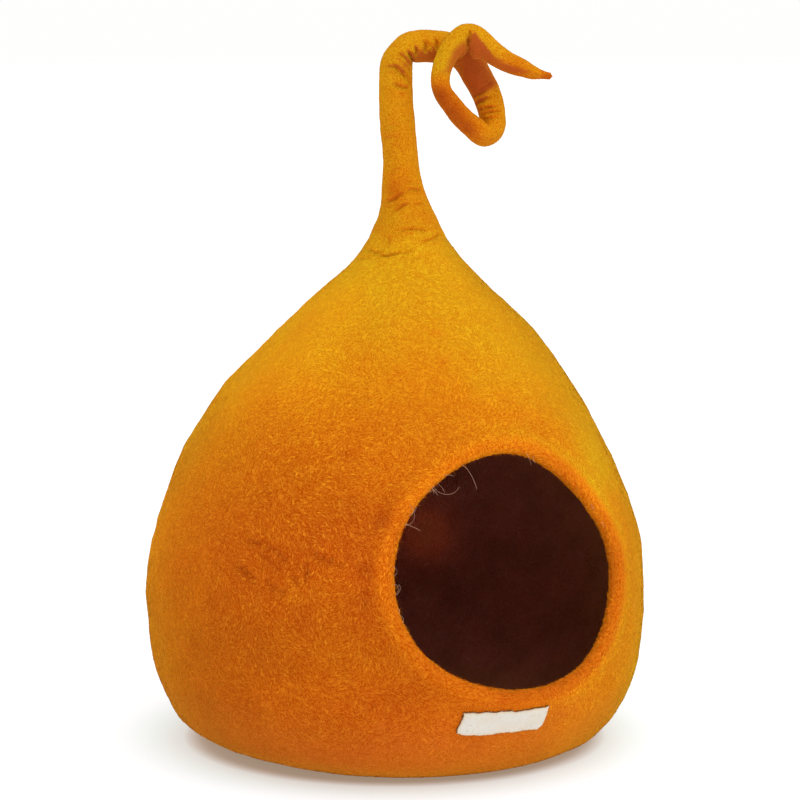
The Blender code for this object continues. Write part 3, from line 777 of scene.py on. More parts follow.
def tail_rings(around, spacing):
    """Rings of the tail: circles square to its middle line, each turned as little as may be from
    the one before. On the inside of a bend a ring stays short of the bend's centre."""
    middle, tangent, radius, at = tail_line(spacing)
    bend = np.gradient(tangent, at, axis=0)
    width = max(1, int(round(0.006 / spacing)))
    smooth = np.ones(2 * width + 1) / (2 * width + 1)
    padded = np.pad(bend, ((width, width), (0, 0)), mode="edge")
    bend = np.stack([np.convolve(padded[:, i], smooth, "valid") for i in range(3)], axis=1)
    start = np.arctan2(RUN_AXIS[1], FRONT_AXIS[1])
    angle = start + 2 * np.pi * np.arange(around) / around
    across = FRONT_AXIS
    frames = []
    for along in tangent:
        across = across - along * (across @ along)
        across = across / np.linalg.norm(across)
        frames.append(across)
    across = np.array(frames)[:, None]
    side = np.cross(tangent, across[:, 0])[:, None]
    circle = np.cos(angle)[None, :, None] * across + np.sin(angle)[None, :, None] * side
    offset = radius[:, None, None] * circle
    tightness = np.maximum(np.linalg.norm(bend, axis=1), 1.0)[:, None]
    towards = (bend / tightness)[:, None]
    reach = 0.8 / tightness
    inward = np.sum(offset * towards, axis=-1)
    limited = np.where(inward > 0, reach * np.tanh(inward / reach), inward)
    rings = middle[:, None] + offset + (limited - inward)[..., None] * towards
    return rings, middle[-1] + tangent[-1] * TIP_LENGTH


def skin_surface():
    """The whole felt piece: outer side, tail, hollow and the entrance's edge."""
    surface = Surface()
    block = (ROWS_BELOW, ENTRANCE_ROWS, ENTRANCE_COLUMNS)
    angle, arc = wall_divisions(AROUND, block, ROWS_ABOVE, NARROWING_ARC)
    outer = surface.add(wall(angle, arc, 0.0), OUTSIDE)
    surface.cells(outer, MAP_PARTS["side"], entrance_block(outer.shape, *block))
    add_base(surface, outer[0], np.zeros(3), BASE, MAP_PARTS["base"], flip=False)

    angles = (np.arange(AROUND // 2) - AROUND // 4) * 4 * np.pi / AROUND
    step = np.linspace(0, 1, ROWS_TO_NECK + 1)[1:]
    arcs = NARROWING_ARC + (SIDE_LENGTH - NARROWING_ARC) * (1.4 * step - 0.4 * step ** 2)
    shoulder = surface.add(wall(*np.meshgrid(angles, arcs), 0.0), OUTSIDE)
    surface.halve(outer[-1], shoulder[0], MAP_PARTS["narrowing"])
    surface.cells(shoulder, MAP_PARTS["shoulder"])

    rings, tip = tail_rings(AROUND // 4, TAIL_RING_SPACING)
    neck = surface.add(rings[1 : NECK_RINGS + 1], TAIL)
    left, bottom, right, top = MAP_PARTS["neck"]
    surface.halve(shoulder[-1], neck[0], (left, bottom - 0.005, right, bottom))
    surface.cells(neck, MAP_PARTS["neck"])
    tail = surface.add(rings[NECK_RINGS + 1 :, ::2], TAIL)
    surface.halve(neck[-1], tail[0], MAP_PARTS["neck_end"])
    surface.cells(tail, MAP_PARTS["tail"])
    left, bottom, right, top = MAP_PARTS["tail"]
    surface.close(tail[-1], tip, TAIL, (left, top, right, top + 0.005))

    small = tuple(number // 2 for number in block)
    hollow_top = SIDE_LENGTH - HOLLOW_SHORT_OF_NECK
    divisions = wall_divisions(AROUND // 2, small, INNER_ROWS_ABOVE, hollow_top)
    inner = surface.add(wall(*divisions, WALL), INSIDE)
    surface.cells(inner, MAP_PARTS["inner"], entrance_block(inner.shape, *small), flip=True)
    floor = np.array([0.0, 0.0, WALL])
    add_base(surface, inner[0], floor, INSIDE, MAP_PARTS["inner_base"], flip=True)
    add_dome(surface, inner[-1])

    loops = (entrance_loop(grid, *block) for grid in (angle, arc, outer))
    add_lip(surface, *loops, entrance_loop(inner, *small))
    return surface.finished()


def point_normals(points, corners):
    """Unit normal at each point: the sum of its triangles' cross products."""
    a, b, c = (points[corners[:, i]] for i in range(3))
    cross = np.cross(b - a, c - a)
    total = np.zeros_like(points)
    for i in range(3):
        for axis in range(3):
            total[:, axis] += np.bincount(corners[:, i], cross[:, axis], len(points))
    return unit(total)


def along_line(at, run, line):
    """Places on a line at these distances along it; run holds the distance of each of its own."""
    return np.stack([np.interp(at, run, column) for column in line.T], axis=-1)


def distance_to_line(points, line):
    """Distance from each point to a run of straight pieces, and where along the run, from 0 to 1,
    the nearest place is."""
    places = chord_lengths(line)
    best = np.full(len(points), np.inf)
    nearest = np.zeros(len(points))
    for start, end, before in zip(line[:-1], line[1:], places):
        span = end - start
        length = np.linalg.norm(span)
        t = np.clip((points - start) @ span / length ** 2, 0, 1)
        away = np.linalg.norm(points - start - t[:, None] * span, axis=1)
        nearer = away < best
        best[nearer] = away[nearer]
        nearest[nearer] = before + t[nearer] * length
    return best, nearest / places[-1]


def crease_lines():
    """Depth, half width and finely divided line of every crease."""
    for depth, width, places in WALL_CREASES:
        degrees, height = np.array(places, float).T
        at = np.linspace(0, 1, 4 * len(places))
        knots = np.linspace(0, 1, len(places))
        line = on_wall(np.interp(at, knots, degrees), np.interp(at, knots, height))
        yield depth, width, line
    for depth, width, places in TAIL_CREASES:
        yield depth, width, in_tail_frame(places)


def crease_relief(points):
    """How far creases move each point along its normal: a trough with the shape of a bell curve
    across the line, a low ridge on each side of it, both fading at the line's ends and made
    uneven by noise."""
    relief = np.zeros(len(points))
    for depth, width, line in crease_lines():
        low, high = line.min(axis=0) - 4 * width, line.max(axis=0) + 4 * width
        near = np.flatnonzero(((points > low) & (points < high)).all(axis=1))
        away, along = distance_to_line(points[near], line)
        across = away / width
        fade = 1 - np.abs(2 * along - 1) ** 3
        fade = fade * (1 + 0.35 * space_noise(points[near], 0.004, 14))
        trough = hump(across) - 0.35 * hump((across - 1.9) / 0.9)
        relief[near] -= depth * fade * trough
    return relief


def lump_relief(points, zones, sizes):
    """Unevenness of hand-felted wool: noise at three sizes, the broad ones fading out towards
    the tail and all of them lower near the entrance's edge."""
    calm = np.where(zones == TAIL, 1.0, 0.4 + 0.6 * ease(past_entrance(points) / 0.03))
    body = ease((0.45 - points[:, 2]) / 0.10)
    broad = body * space_noise(points, 0.034, 11)
    middle = (0.2 + 0.35 * body) * space_noise(points, 0.014, 12)
    fine = 0.22 * space_noise(points, 0.0065, 13)
    return sizes.lumps * calm * (broad + middle + fine)


def quiet_near_label(points):
    """1 over most of the felt, down to 0 under the label."""
    angle = angle_of(points)
    across = (angle * ENTRANCE_RADIUS - LABEL_ASIDE) / (LABEL_WIDTH / 2 + 0.006)
    along = (points[:, 2] - LABEL_MIDDLE_HEIGHT) / (LABEL_HEIGHT / 2 + 0.008)
    size = (across ** 4 + along ** 4) ** 0.25
    outside = np.hypot(points[:, 0], points[:, 1]) > 0.1
    return np.where(outside, ease((size - 0.8) / 0.5), 1.0)


def above_base(points, zones):
    """0 on the flat base and the hollow's floor, rising to 1 a little way up the wall."""
    rise = ease((points[:, 2] - 0.002) / 0.02)
    floor = ease((points[:, 2] - WALL) / 0.02)
    return np.where(zones == BASE, 0.0, np.where(zones == INSIDE, floor, rise))


def pushed(points):
    """Points moved by the table of soft pushes: each push fades as a bell curve with the
    distance from its middle."""
    moved = points.copy()
    for middle, radius, offset in PUSHES:
        near = bell(points, in_tail_frame(middle), radius)
        moved += near[:, None] * in_tail_frame(offset)
    return moved


# --- Fibres and threads ---


def sample_surface(skin, count, weight, random):
    """Random places spread evenly over the skin's faces, each face's area times its weight.
    Gives the places, their faces' unit normals and a point of the skin next to each."""
    corners = skin.corners
    a, b, c = (skin.points[corners[:, i]] for i in range(3))
    cross = np.cross(b - a, c - a)
    area = np.linalg.norm(cross, axis=1) / 2 * weight[corners[:, 0]]
    pick = np.searchsorted(np.cumsum(area), random.random(count) * area.sum())
    pick = np.clip(pick, 0, len(corners) - 1)
    u, v = random.random((2, count))
    over = u + v > 1
    u, v = np.where(over, 1 - u, u)[:, None], np.where(over, 1 - v, v)[:, None]
    place = a[pick] + u * (b - a)[pick] + v * (c - a)[pick]
    return place, unit(cross[pick]), corners[pick, 0]


def slivers(path, beside, normal, width, ridge):
    """Closed flat tufts, pointed at both ends: path is tufts by three stations. The ends are the
    first and the last, and the middle is two points, half the width to each side and as high as
    the ridge. Gives points, faces and a flat map with a small square for each tuft, in the tufts'
    own order."""
    count = len(path)
    half = width[:, None] / 2 * beside
    middle = path[:, 1] + ridge * normal
    points = np.stack([path[:, 0], middle - half, middle + half, path[:, 2]], axis=1)
    one = np.array([(0, 1, 2), (3, 2, 1), (0, 3, 1), (0, 2, 3)])
    triangles = (one + 4 * np.arange(count)[:, None, None]).reshape(-1, 3)
    place = np.array([(0.1, 0.5), (0.5, 0.1), (0.5, 0.9), (0.9, 0.5)])
    square = place[one]
    square[2:] *= 0.05
    wide = int(np.ceil(np.sqrt(count)))
    number_of = np.arange(count)
    corner = np.stack([number_of % wide, number_of // wide], -1)[:, None, None]
    return points.reshape(-1, 3), triangles, ((corner + square) / wide).reshape(-1, 2)


def strand_mesh(path, radius, sides):
    """Closed tubes round many paths at once. path is strands by stations by 3 and radius strands
    by stations; the last station is a point. Each ring is a small polygon square to the path."""
    strands, stations = path.shape[:2]
    along = unit(np.gradient(path, axis=1))
    helper = np.where(np.abs(along[:, :1, 2:]) > 0.8, (1.0, 0.0, 0.0), (0.0, 0.0, 1.0))
    across = unit(np.cross(along, helper))
    side = np.cross(along, across)
    turn = 2 * np.pi * np.arange(sides) / sides
    ring = (
        np.cos(turn)[:, None] * across[:, :-1, None] + np.sin(turn)[:, None] * side[:, :-1, None]
    )
    rings = path[:, :-1, None] + radius[:, :-1, None, None] * ring
    count = (stations - 1) * sides + 1
    points = np.concatenate([rings.reshape(strands, -1, 3), path[:, -1:]], axis=1)
    grid = np.arange((stations - 1) * sides).reshape(stations - 1, sides)
    low, high = grid[:-1], grid[1:]
    walls = np.stack([low, np.roll(low, -1, 1), np.roll(high, -1, 1), high], -1).reshape(-1, 4)
    last = grid[-1]
    tips = np.stack([last, np.roll(last, -1), np.full(sides, count - 1)], -1)
    ends = np.stack([np.full(sides - 2, 0), np.arange(sides - 1, 1, -1),
                     np.arange(sides - 2, 0, -1)], -1)
    offset = count * np.arange(strands)[:, None, None]
    quads = (walls + offset).reshape(-1, 4)
    triangles = (np.concatenate([tips, ends]) + offset).reshape(-1, 3)
    return points.reshape(-1, 3), (quads, triangles)


def swirls(place, normal, level, random):
    """Unit directions along the felt: they lean down to the right, swirl with their neighbours and
    are nearly level where level is 1."""
    first = unit(np.cross(normal, UP_AXIS + 0.01 * RUN_AXIS))
    second = np.cross(normal, first)
    swirl = 3.2 * space_noise(place, 0.060, 21) + 1.3 * space_noise(place, 0.016, 22)
    turn = (1 - level) * (swirl - 0.65) + random.normal(0, 0.42, len(place))
    return np.cos(turn)[:, None] * first + np.sin(turn)[:, None] * second


def fibre_paths(place, normal, ahead, length, lift, rise, random):
    """Three stations of each short tuft: it lies along the felt, bends to one side, and dips into
    the felt at its ends or lifts a little. rise is how high its middle lies. Also gives the
    sideways direction of each."""
    count = len(place)
    beside = np.cross(normal, ahead)
    length = length[:, None]
    bend = random.normal(0, 0.15, (count, 1)) * length
    lift = (lift * random.uniform(0.0, 1.0, count) ** 3)[:, None]
    start = place - 0.5 * length * ahead - 0.00008 * normal
    middle = place + bend * beside + rise[:, None] * normal
    end = place + 0.5 * length * ahead + (lift - 0.00008) * normal
    return np.stack([start, middle, end], axis=1), beside


def flattened(steps, normal):
    """Steps without their part along the normals."""
    return steps - np.sum(steps * normal, axis=1, keepdims=True) * normal


def crease_tufts(skin, random):
    """Dark tufts of painted shade along the creases, strewn evenly along each line and a little
    beside it, then set on the skin: their places, normals, skin points next to them, and
    directions."""
    places, nearest, ways = [], [], []
    for depth, width, line in crease_lines():
        run = chord_lengths(line)
        count = int(run[-1] / CREASE_TUFT_SPACING * min(1.0, depth / 0.0010))
        at = random.uniform(0.03, 0.97, count) * run[-1]
        place = along_line(at, run, line)
        ahead = along_line(at + 0.001, run, line) - place
        place = place + random.normal(0, 0.3 * width, (count, 3))
        low, high = line.min(axis=0) - 0.01, line.max(axis=0) + 0.01
        around = np.flatnonzero(
            ((skin.points > low) & (skin.points < high)).all(axis=1) & (skin.zones != INSIDE)
        )
        away = np.linalg.norm(place[:, None] - skin.points[around], axis=-1)
        near = around[away.argmin(axis=1)]
        beside = flattened(place - skin.points[near], skin.normals[near])
        places.append(skin.points[near] + beside)
        nearest.append(near)
        ways.append(ahead + random.normal(0, 0.0003, (count, 3)))
    nearest = np.concatenate(nearest)
    normal = skin.normals[nearest]
    ahead = unit(flattened(np.concatenate(ways), normal))
    return np.concatenate(places), normal, nearest, ahead


def hair_paths(start, inward, beside, out, heading, turn, length, random, stations=14):
    """Loose hairs in the plane of inward and beside: each sets off at its heading from inward and
    turns steadily by its turn on the way, with a small random wander. out waves it off that
    plane."""
    count = len(start)
    t = np.linspace(0, 1, stations)
    wander = np.cumsum(random.normal(0, 0.05, (count, stations)), axis=1)
    heading = heading[:, None] + turn[:, None] * t + wander
    way = (
        np.cos(heading)[..., None] * inward[:, None] + np.sin(heading)[..., None] * beside[:, None]
    )
    path = np.cumsum(way * (length / stations)[:, None, None], axis=1)
    wave = random.uniform(0.0, 0.25, (count, 1, 1)) * length[:, None, None]
    path = path + wave * (t ** 1.5)[:, None] * out[:, None]
    return start[:, None] + path - path[:, :1]


# --- Meshes and materials ---


def make_object(name, points, faces, material):
    """One mesh object at the origin, from its points and its arrays of faces."""
    mesh = bpy.data.meshes.new(name)
    mesh.from_pydata(points.tolist(), [], [face for part in faces for face in part.tolist()])
    mesh.materials.append(material)
    made = bpy.data.objects.new(name, mesh)
    bpy.context.scene.collection.objects.link(made)
    return made


def make_piece(name, points, faces, material, slot, smooth=True):
    """A mesh object that rides on the frame's body."""
    piece = make_object(name, points, faces, material)
    piece.data.polygons.foreach_set("use_smooth", np.full(len(piece.data.polygons), smooth))
    piece.data.update()
    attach(piece, "root")
    return piece


def set_colour(piece, colour):
    """Keeps a colour for each point of a piece."""
    layer = piece.data.color_attributes.new(name="Wool", type="FLOAT_COLOR", domain="POINT")
    full = np.concatenate([colour, np.ones((len(colour), 1))], axis=1)
    layer.data.foreach_set("color", full.astype(np.float32).ravel())


def set_map(piece, name, places):
    """Gives a piece a flat map, with a place for each face corner."""
    layer = piece.data.uv_layers.new(name=name)
    layer.uv.foreach_set("vector", places.astype(np.float32).ravel())


def add_node(tree, kind, values=None, **settings):
    """A shader node with its settings, and its inputs set to values or joined to sockets."""
    made = tree.nodes.new(kind)
    for key, value in settings.items():
        setattr(made, key, value)
    for key, value in (values or {}).items():
        if isinstance(value, bpy.types.NodeSocket):
            tree.links.new(value, made.inputs[key])
        else:
            made.inputs[key].default_value = value
    return made


def number(tree, operation, first, second=0.0):
    """Output of a Math node."""
    return add_node(tree, "ShaderNodeMath", {0: first, 1: second}, operation=operation).outputs[0]


def times(tree, first, second):
    """Product of two values."""
    return number(tree, "MULTIPLY", first, second)


def band(tree, value, low, high, to_low=0.0, to_high=1.0):
    """Output of a Map Range node that eases from to_low at low to to_high at high."""
    made = add_node(
        tree,
        "ShaderNodeMapRange",
        {"Value": value, "From Min": low, "From Max": high, "To Min": to_low, "To Max": to_high},
        interpolation_type="SMOOTHSTEP",
    )
    return made.outputs["Result"]


def noise(tree, vector, scale, detail=2.0, roughness=0.5, distortion=0.0):
    """Value of a Noise texture."""
    names = ("Vector", "Scale", "Detail", "Roughness", "Distortion")
    values = dict(zip(names, (vector, scale, detail, roughness, distortion)))
    return add_node(tree, "ShaderNodeTexNoise", values).outputs["Fac"]


def attribute(tree, name, output="Fac"):
    """What the mesh holds under this name."""
    return add_node(tree, "ShaderNodeAttribute", attribute_name=name).outputs[output]


def bump(tree, shader, strength, distance, height):
    """Low relief in the shader's surface."""
    values = {"Strength": strength, "Distance": distance, "Height": height}
    made = add_node(tree, "ShaderNodeBump", values)
    tree.links.new(made.outputs["Normal"], shader.inputs["Normal"])


def mix_colour(tree, factor, first, second, blend="MIX"):
    """Output of a Mix node for colours, which are sockets or red, green and blue."""
    first, second = (
        colour if isinstance(colour, bpy.types.NodeSocket) else (*colour, 1.0)
        for colour in (first, second)
    )
    values = {0: factor, 6: first, 7: second}
    return add_node(tree, "ShaderNodeMix", values, data_type="RGBA", blend_type=blend).outputs[2]


def new_material(name, roughness):
    """A material with its node tree, its shader node and its Object coordinates."""
    material = bpy.data.materials.new(name)
    material.use_nodes = True
    tree = material.node_tree
    shader = tree.nodes["Principled BSDF"]
    shader.inputs["Roughness"].default_value = roughness
    place = add_node(tree, "ShaderNodeTexCoord").outputs["Object"]
    return material, tree, shader, place


def tail_shade(points, normals, zones):
    """How much painted shade each place of the felt gets, from 0 to 1, shown as smooth brown: what
    faces down, a little on the body and more on the tail, and the tail's two facets."""
    tail = zones == TAIL
    run, ahead, height = points @ RUN_AXIS, points @ FRONT_AXIS, points[:, 2]
    limit = np.where(tail, 0.06, -0.12)
    most = np.where(tail, np.where((ahead > 0) & (height < 0.562), 0.25, 0.85), 0.35)
    shade = ease((limit - normals[:, 2]) / 0.45) * most
    fold_run, fold_height = np.array(FOLD_LINE).T
    beyond = ease((run - np.interp(height, fold_height, fold_run)) / 0.0014 + 0.5)
    under = ease((np.interp(run, *np.array(FRONT_FACET_TOP).T) - height) / 0.0030 + 0.5)
    front = beyond * under * ease((ahead - 0.003) / 0.004) * ease((0.100 - run) / 0.025)
    front = front * ease((height - 0.548) / 0.010)
    above = ease((height - np.interp(run, *np.array(BACK_FACET_FOOT).T)) / 0.007 + 0.5)
    facing = ease((normals @ FRONT_AXIS + 0.1) / 0.3)
    back = above * facing * ease((0.004 - ahead) / 0.004) * ease((run - 0.050) / 0.006)
    shade = np.where(tail, np.maximum(shade, 0.95 * np.maximum(front, back)), shade)
    return np.where(tail | (zones == OUTSIDE), shade, 0.0)


def gold_share(points, zones, crease_shade):
    """How golden the wool looks, from -0.45 for rust over 0 for deep orange to 1.15, with light and
    shade painted in. Gold grows with height, partly the dye's own and partly a painted top light,
    and towards both sides of the lower front as a painted sheen seen at a slant. It is less at the
    entrance's edge, where shade is painted, with a painted lighter band beside it. Patches change
    it, creases take gold away as painted shade, and the tail has its own gold, with painted light
    and shade in it, above a slanting line on the neck."""
    angle = angle_of(points)
    height = points[:, 2]
    # Painted sheen: gold towards both sides, where the wool is seen at a slant.
    side = ease((0.80 - np.cos(angle + np.radians(35))) / 0.90)
    fore = ease((3.0 - np.abs(angle)) / 1.0)
    earlier = 0.03 * fore * ease((angle + 0.35) / 0.9)
    top = ease((height - 0.182 + earlier) / 0.208) + 0.15 * ease((height - 0.355) / 0.05)
    gold = 1 - (1 - top) * (1 - 0.9 * side)
    away = past_entrance(points)
    front = (np.abs(angle) < 1.4) & (zones != TAIL)
    # Painted shade right at the entrance's edge, and a painted lighter band beside it.
    redder = 0.05 + 0.22 * ease((angle + 0.1) / 0.5)
    paler = 0.20 * ease((-angle - 0.15) / 0.3) * hump((away - 0.003) / 0.006)
    paler += 0.28 * ease((angle + 0.3) / 0.5) * hump((away - 0.011) / 0.007)
    gold += np.where(front, paler - redder * hump(away / 0.0025), 0.0)
    for degrees, level, radius, amount in GOLD_AND_SHEEN_PATCHES:
        middle = on_wall(np.array([degrees]), np.array([level]))
        gold += amount * bell(points, middle, radius)
    neck_line = 0.408 + 0.018 * fore * ease((angle + 1.1) / 1.2)
    neck_line = neck_line + 0.006 * space_noise(points, 0.02, 55)
    stem = window(height, 0.43, 0.03, 0.572, 0.03)
    tail_gold = 0.98 - 0.14 * stem
    # Painted light and shade on the tail.
    for run, ahead, level, radius, amount in TAIL_LIGHT_AND_SHADE:
        middle = in_tail_frame((run, ahead, level))
        tail_gold += amount * bell(points, middle, radius)
    gold = gold + ease((height - neck_line) / 0.010) * (tail_gold - gold)
    stripes = space_noise(points * np.array([1.0, 1.0, 5.0]), 0.018, 53)
    gold += 0.12 * stripes * window(height, 0.40, 0.02, 0.50, 0.02)
    gold += 0.17 * fore * ease((angle + 0.9) / 0.6) * ease((0.10 - height) / 0.05)
    gold += 0.16 * fore * ease((angle - 0.05) / 0.35) * ease((0.20 - height) / 0.10)
    gold += 0.09 * space_noise(points, 0.055, 51) + 0.06 * space_noise(points, 0.021, 52)
    # Creases lose gold and light: painted shade.
    return gold - (0.40 - 0.16 * ease((height - 0.37) / 0.03)) * crease_shade


def wool_colour(points, normals, zones, crease_shade, shade, turned, colours):
    """Colour of the wool at places on the skin, with light and shade painted into it: the ramp from
    rust through deep orange to gold at the place's share of gold, browner where painted shade
    falls, darkest in the hollow, which is a painted shaded copy of the wool with a painted pool of
    light. Painted light makes a low belt of the front, the low front, the upper left, the rim and
    the entrance's edge lighter; painted shade makes both flanks, the foot, the neck and the creases
    darker, and a painted contact shadow runs along the sole. Relief that turns the felt away from
    the light makes it redder."""
    angle = angle_of(points)
    height = points[:, 2]
    at = np.clip(gold_share(points, zones, crease_shade), -0.45, 1.15)
    ramp = np.array(
        [colours.rust_and_shade, colours.deep, colours.orange, colours.golden, colours.pale]
    )
    knots = (-0.45, 0.0, 0.35, 0.75, 1.15)
    colour = np.stack([np.interp(at, knots, ramp[:, i]) for i in range(3)], axis=-1)
    # Painted shade: relief turned from the light gets redder.
    colour = colour * np.exp(turned[:, None] * np.array([0.30, -0.25, -0.3]))
    # Painted shade: browner where the shade attribute is set.
    colour = colour + shade[:, None] * (np.array(colours.shaded) - colour)
    # The hollow is a painted shaded copy of the wool, with a painted pool of light on its back wall.
    inner = np.where(zones == INSIDE, 1.0, 0.0)[:, None]
    glow = bell(points, in_tail_frame(HOLLOW_LIGHT_POOL), HOLLOW_LIGHT_RADIUS)
    mottle = 0.16 * space_noise(points, 0.024, 57) + 0.10 * space_noise(points, 0.009, 58)
    glow = 1 + mottle[:, None] + glow[:, None] * HOLLOW_LIGHT_TINT
    hollow = np.array(colours.hollow) * glow
    colour = colour + inner * (hollow - colour)
    # Painted shade in the creases.
    lit = 1 - (0.12 + 0.06 * ease((height - 0.37) / 0.03)) * crease_shade
    # Painted light and shade by region: a lighter belt, low front, upper left and rim, darker flanks,
    # foot and neck, and a lighter entrance edge.
    belt = hump((height - 0.19) / 0.050) * ease((1.75 - np.abs(angle + 0.9)) / 0.5)
    right = window(angle, 0.25, 0.65, 2.3, 0.6)
    left = window(angle, -2.7, 0.6, -1.5, 0.35) * ease((0.36 - height) / 0.1)
    foot = ease((0.05 - height) / 0.045) * ease((np.cos(angle + np.radians(75)) - 0.1) / 0.9)
    away = past_entrance(points)
    rim = 0.20 * hump(away / 0.007) - 0.05 * hump(away / 0.016)
    neck = window(height, 0.42, 0.02, 0.48, 0.02)
    face = ease(1 - np.abs(height - 0.050) / 0.085) * ease(1 - np.abs(angle + 0.36) / 1.15)
    upper = window(height, 0.25, 0.08, 0.42, 0.05) * ease((-angle - 0.7) / 0.5)
    body = 0.15 * belt - 0.16 * right - 0.07 * left - 0.03 * foot + 0.22 * face + rim + 0.12 * upper
    lit = lit + np.where(zones == OUTSIDE, body, np.where(zones == EDGE, 0.20, 0.0)) - 0.04 * neck
    # Painted contact shadow along the sole: darker and redder near the floor.
    beside = 1 - np.cos(angle + np.radians(30))
    contact_shadow = ease((0.012 + 0.012 * beside - height) / 0.009) * np.where(zones == OUTSIDE, 1.0, 0.0)
    colour = colour * (1 - contact_shadow[:, None] * np.array([0.0, 0.35, 0.2]))
    lit = lit * (1 - 0.45 * contact_shadow)
    return np.clip(colour * lit[:, None], 0, 1)


def mark_strength(points, zones, shade):
    """How strongly fibre marks show: more in the middle of the front's left half, less on the
    right flank, high up, on the tail, in the hollow and where the felt is shaded and smooth."""
    angle = angle_of(points)
    strong = 0.7 * ease(1 - np.abs(angle + np.radians(52)) / 0.75)
    strong = strong * ease(1 - np.abs(points[:, 2] - 0.21) / 0.20)
    calm = 0.75 * window(angle, 0.25, 0.6, 1.9, 0.6)
    calm += 0.25 * ease((-angle - 1.1) / 0.5)
    high = 0.58 * ease((points[:, 2] - 0.24) / 0.10)
    strength = ZONE_MARKS[zones] + np.where(zones == OUTSIDE, strong - calm - high, 0.0)
    return strength.clip(0.20) * (1 - 0.8 * ease(shade / 0.7))


def gap_share(points, zones):
    """Share of the tufts that are dark gaps of painted shade: most where the front's left half is
    roughest, few on the right flank and near the floor."""
    angle = angle_of(points)
    rough = 0.14 * ease(1 - np.abs(angle + np.radians(52)) / 0.9)
    rough = rough * ease(1 - np.abs(points[:, 2] - 0.23) / 0.20)
    calm = 0.20 * window(angle, 0.35, 0.6, 1.9, 0.6)
    low = 0.12 * ease((0.10 - points[:, 2]) / 0.06)
    return 0.36 + np.where(zones == OUTSIDE, rough - calm - low, 0.0)


def fibre_marks(tree, place, scale, lines):
    """Fine swirling lines of matted fibres, from -1 to 1: a slow noise goes through many turns of
    a sine, so its level lines run side by side, and a finer noise breaks them up."""
    slow = noise(tree, place, scale, 1.0, 0.5, 0.8)
    turns = number(tree, "SINE", times(tree, slow, lines))
    breaks = noise(tree, place, scale * 3.1, 1.0, 0.5, 0.4)
    return times(tree, turns, band(tree, breaks, 0.38, 0.62, 0.15, 1.0))


def make_felt(colours):
    """Hand-felted wool: matte, with fibre marks, pores and a golden bloom at a slant."""
    material, tree, shader, place = new_material("wool_felt", 0.95)
    wool, strength = attribute(tree, "Wool", "Color"), attribute(tree, "Marks")
    aside = {0: place, 1: (3.1, 1.7, 0.4)}
    elsewhere = add_node(tree, "ShaderNodeVectorMath", aside, operation="ADD").outputs[0]
    wide = times(tree, fibre_marks(tree, place, 62.0, 125.0), 0.8)
    narrow = times(tree, fibre_marks(tree, elsewhere, 95.0, 92.0), 0.65)
    grit = band(tree, noise(tree, place, 1000.0, 1.0, 0.5, 0.3), 0.36, 0.64, -1.8, 1.8)
    marks = number(tree, "ADD", number(tree, "ADD", wide, narrow), grit)
    lighter = band(tree, times(tree, marks, strength), -1.7, 1.2)
    # The dark gaps between the fibre marks are painted shade.
    change = mix_colour(tree, lighter, colours.gap, colours.fibre)
    marked = mix_colour(tree, 1.0, wool, change, "MULTIPLY")
    pores = add_node(tree, "ShaderNodeTexVoronoi", {"Vector": place, "Scale": 260.0})
    near_pore = band(tree, pores.outputs["Distance"], 0.22, 0.08)
    speck = times(tree, near_pore, band(tree, noise(tree, place, 75.0, 2.0), 0.54, 0.66))
    full = mix_colour(tree, times(tree, speck, 0.8), marked, colours.pore, "MULTIPLY")
    tree.links.new(full, shader.inputs["Base Color"])
    finish_wool(shader, colours)
    tufts = noise(tree, place, 240.0, 3.0, 0.6, 0.8)
    height = number(tree, "ADD", times(tree, marks, 0.3), tufts)
    bump(tree, shader, 0.5, 0.0005, number(tree, "SUBTRACT", height, speck))
    return material


def finish_wool(shader, colours):
    """Wool's soft bloom, and hardly any shine."""
    shader.inputs["Sheen Weight"].default_value = 0.40
    shader.inputs["Sheen Roughness"].default_value = 0.5
    shader.inputs["Sheen Tint"].default_value = (*colours.bloom, 1.0)
    shader.inputs["Specular IOR Level"].default_value = 0.02


def make_fibre_wool(colours):
    """Single wool fibres, each with its own colour."""
    material, tree, shader, _ = new_material("wool_fibres", 0.95)
    tree.links.new(attribute(tree, "Wool", "Color"), shader.inputs["Base Color"])
    finish_wool(shader, colours)
    return material


def make_label_cloth(colours):
    """Plain-woven cotton: two crossing sets of threads on the cloth's own UV map, in metres."""
    material, tree, shader, _ = new_material("label_cloth", 0.85)
    cloth = add_node(tree, "ShaderNodeUVMap", uv_map="Cloth").outputs["UV"]
    split = add_node(tree, "ShaderNodeSeparateXYZ", {"Vector": cloth})
    weave, edge = [], []
    for axis, half, hem in (("X", LABEL_WIDTH / 2, 0.0022), ("Y", LABEL_HEIGHT / 2, 0.0020)):
        along = split.outputs[axis]
        weave.append(number(tree, "SINE", times(tree, along, 2 * np.pi / THREAD_PITCH)))
        edge.append(band(tree, number(tree, "ABSOLUTE", along), half - hem, half - 0.0004))
    weave, edge = times(tree, *weave), number(tree, "MAXIMUM", *edge)
    stain = band(tree, noise(tree, cloth, 60.0, 4.0, 0.6), 0.35, 0.7)
    cream = mix_colour(tree, stain, colours.label, colours.label_warm)
    turned = mix_colour(tree, times(tree, edge, 0.75), cream, colours.label_edge)
    specks = band(tree, noise(tree, cloth, 420.0, 2.0, 0.6), 0.56, 0.70, 0.0, 0.45)
    speckled = mix_colour(tree, specks, turned, colours.label_shade)
    between = band(tree, weave, -0.2, -1.0, 0.0, 0.3)
    shade = mix_colour(tree, between, speckled, colours.label_shade)
    tree.links.new(shade, shader.inputs["Base Color"])
    shader.inputs["Sheen Weight"].default_value = 0.15
    shader.inputs["Specular IOR Level"].default_value = 0.25
    bump(tree, shader, 0.6, 0.00025, weave)
    return material


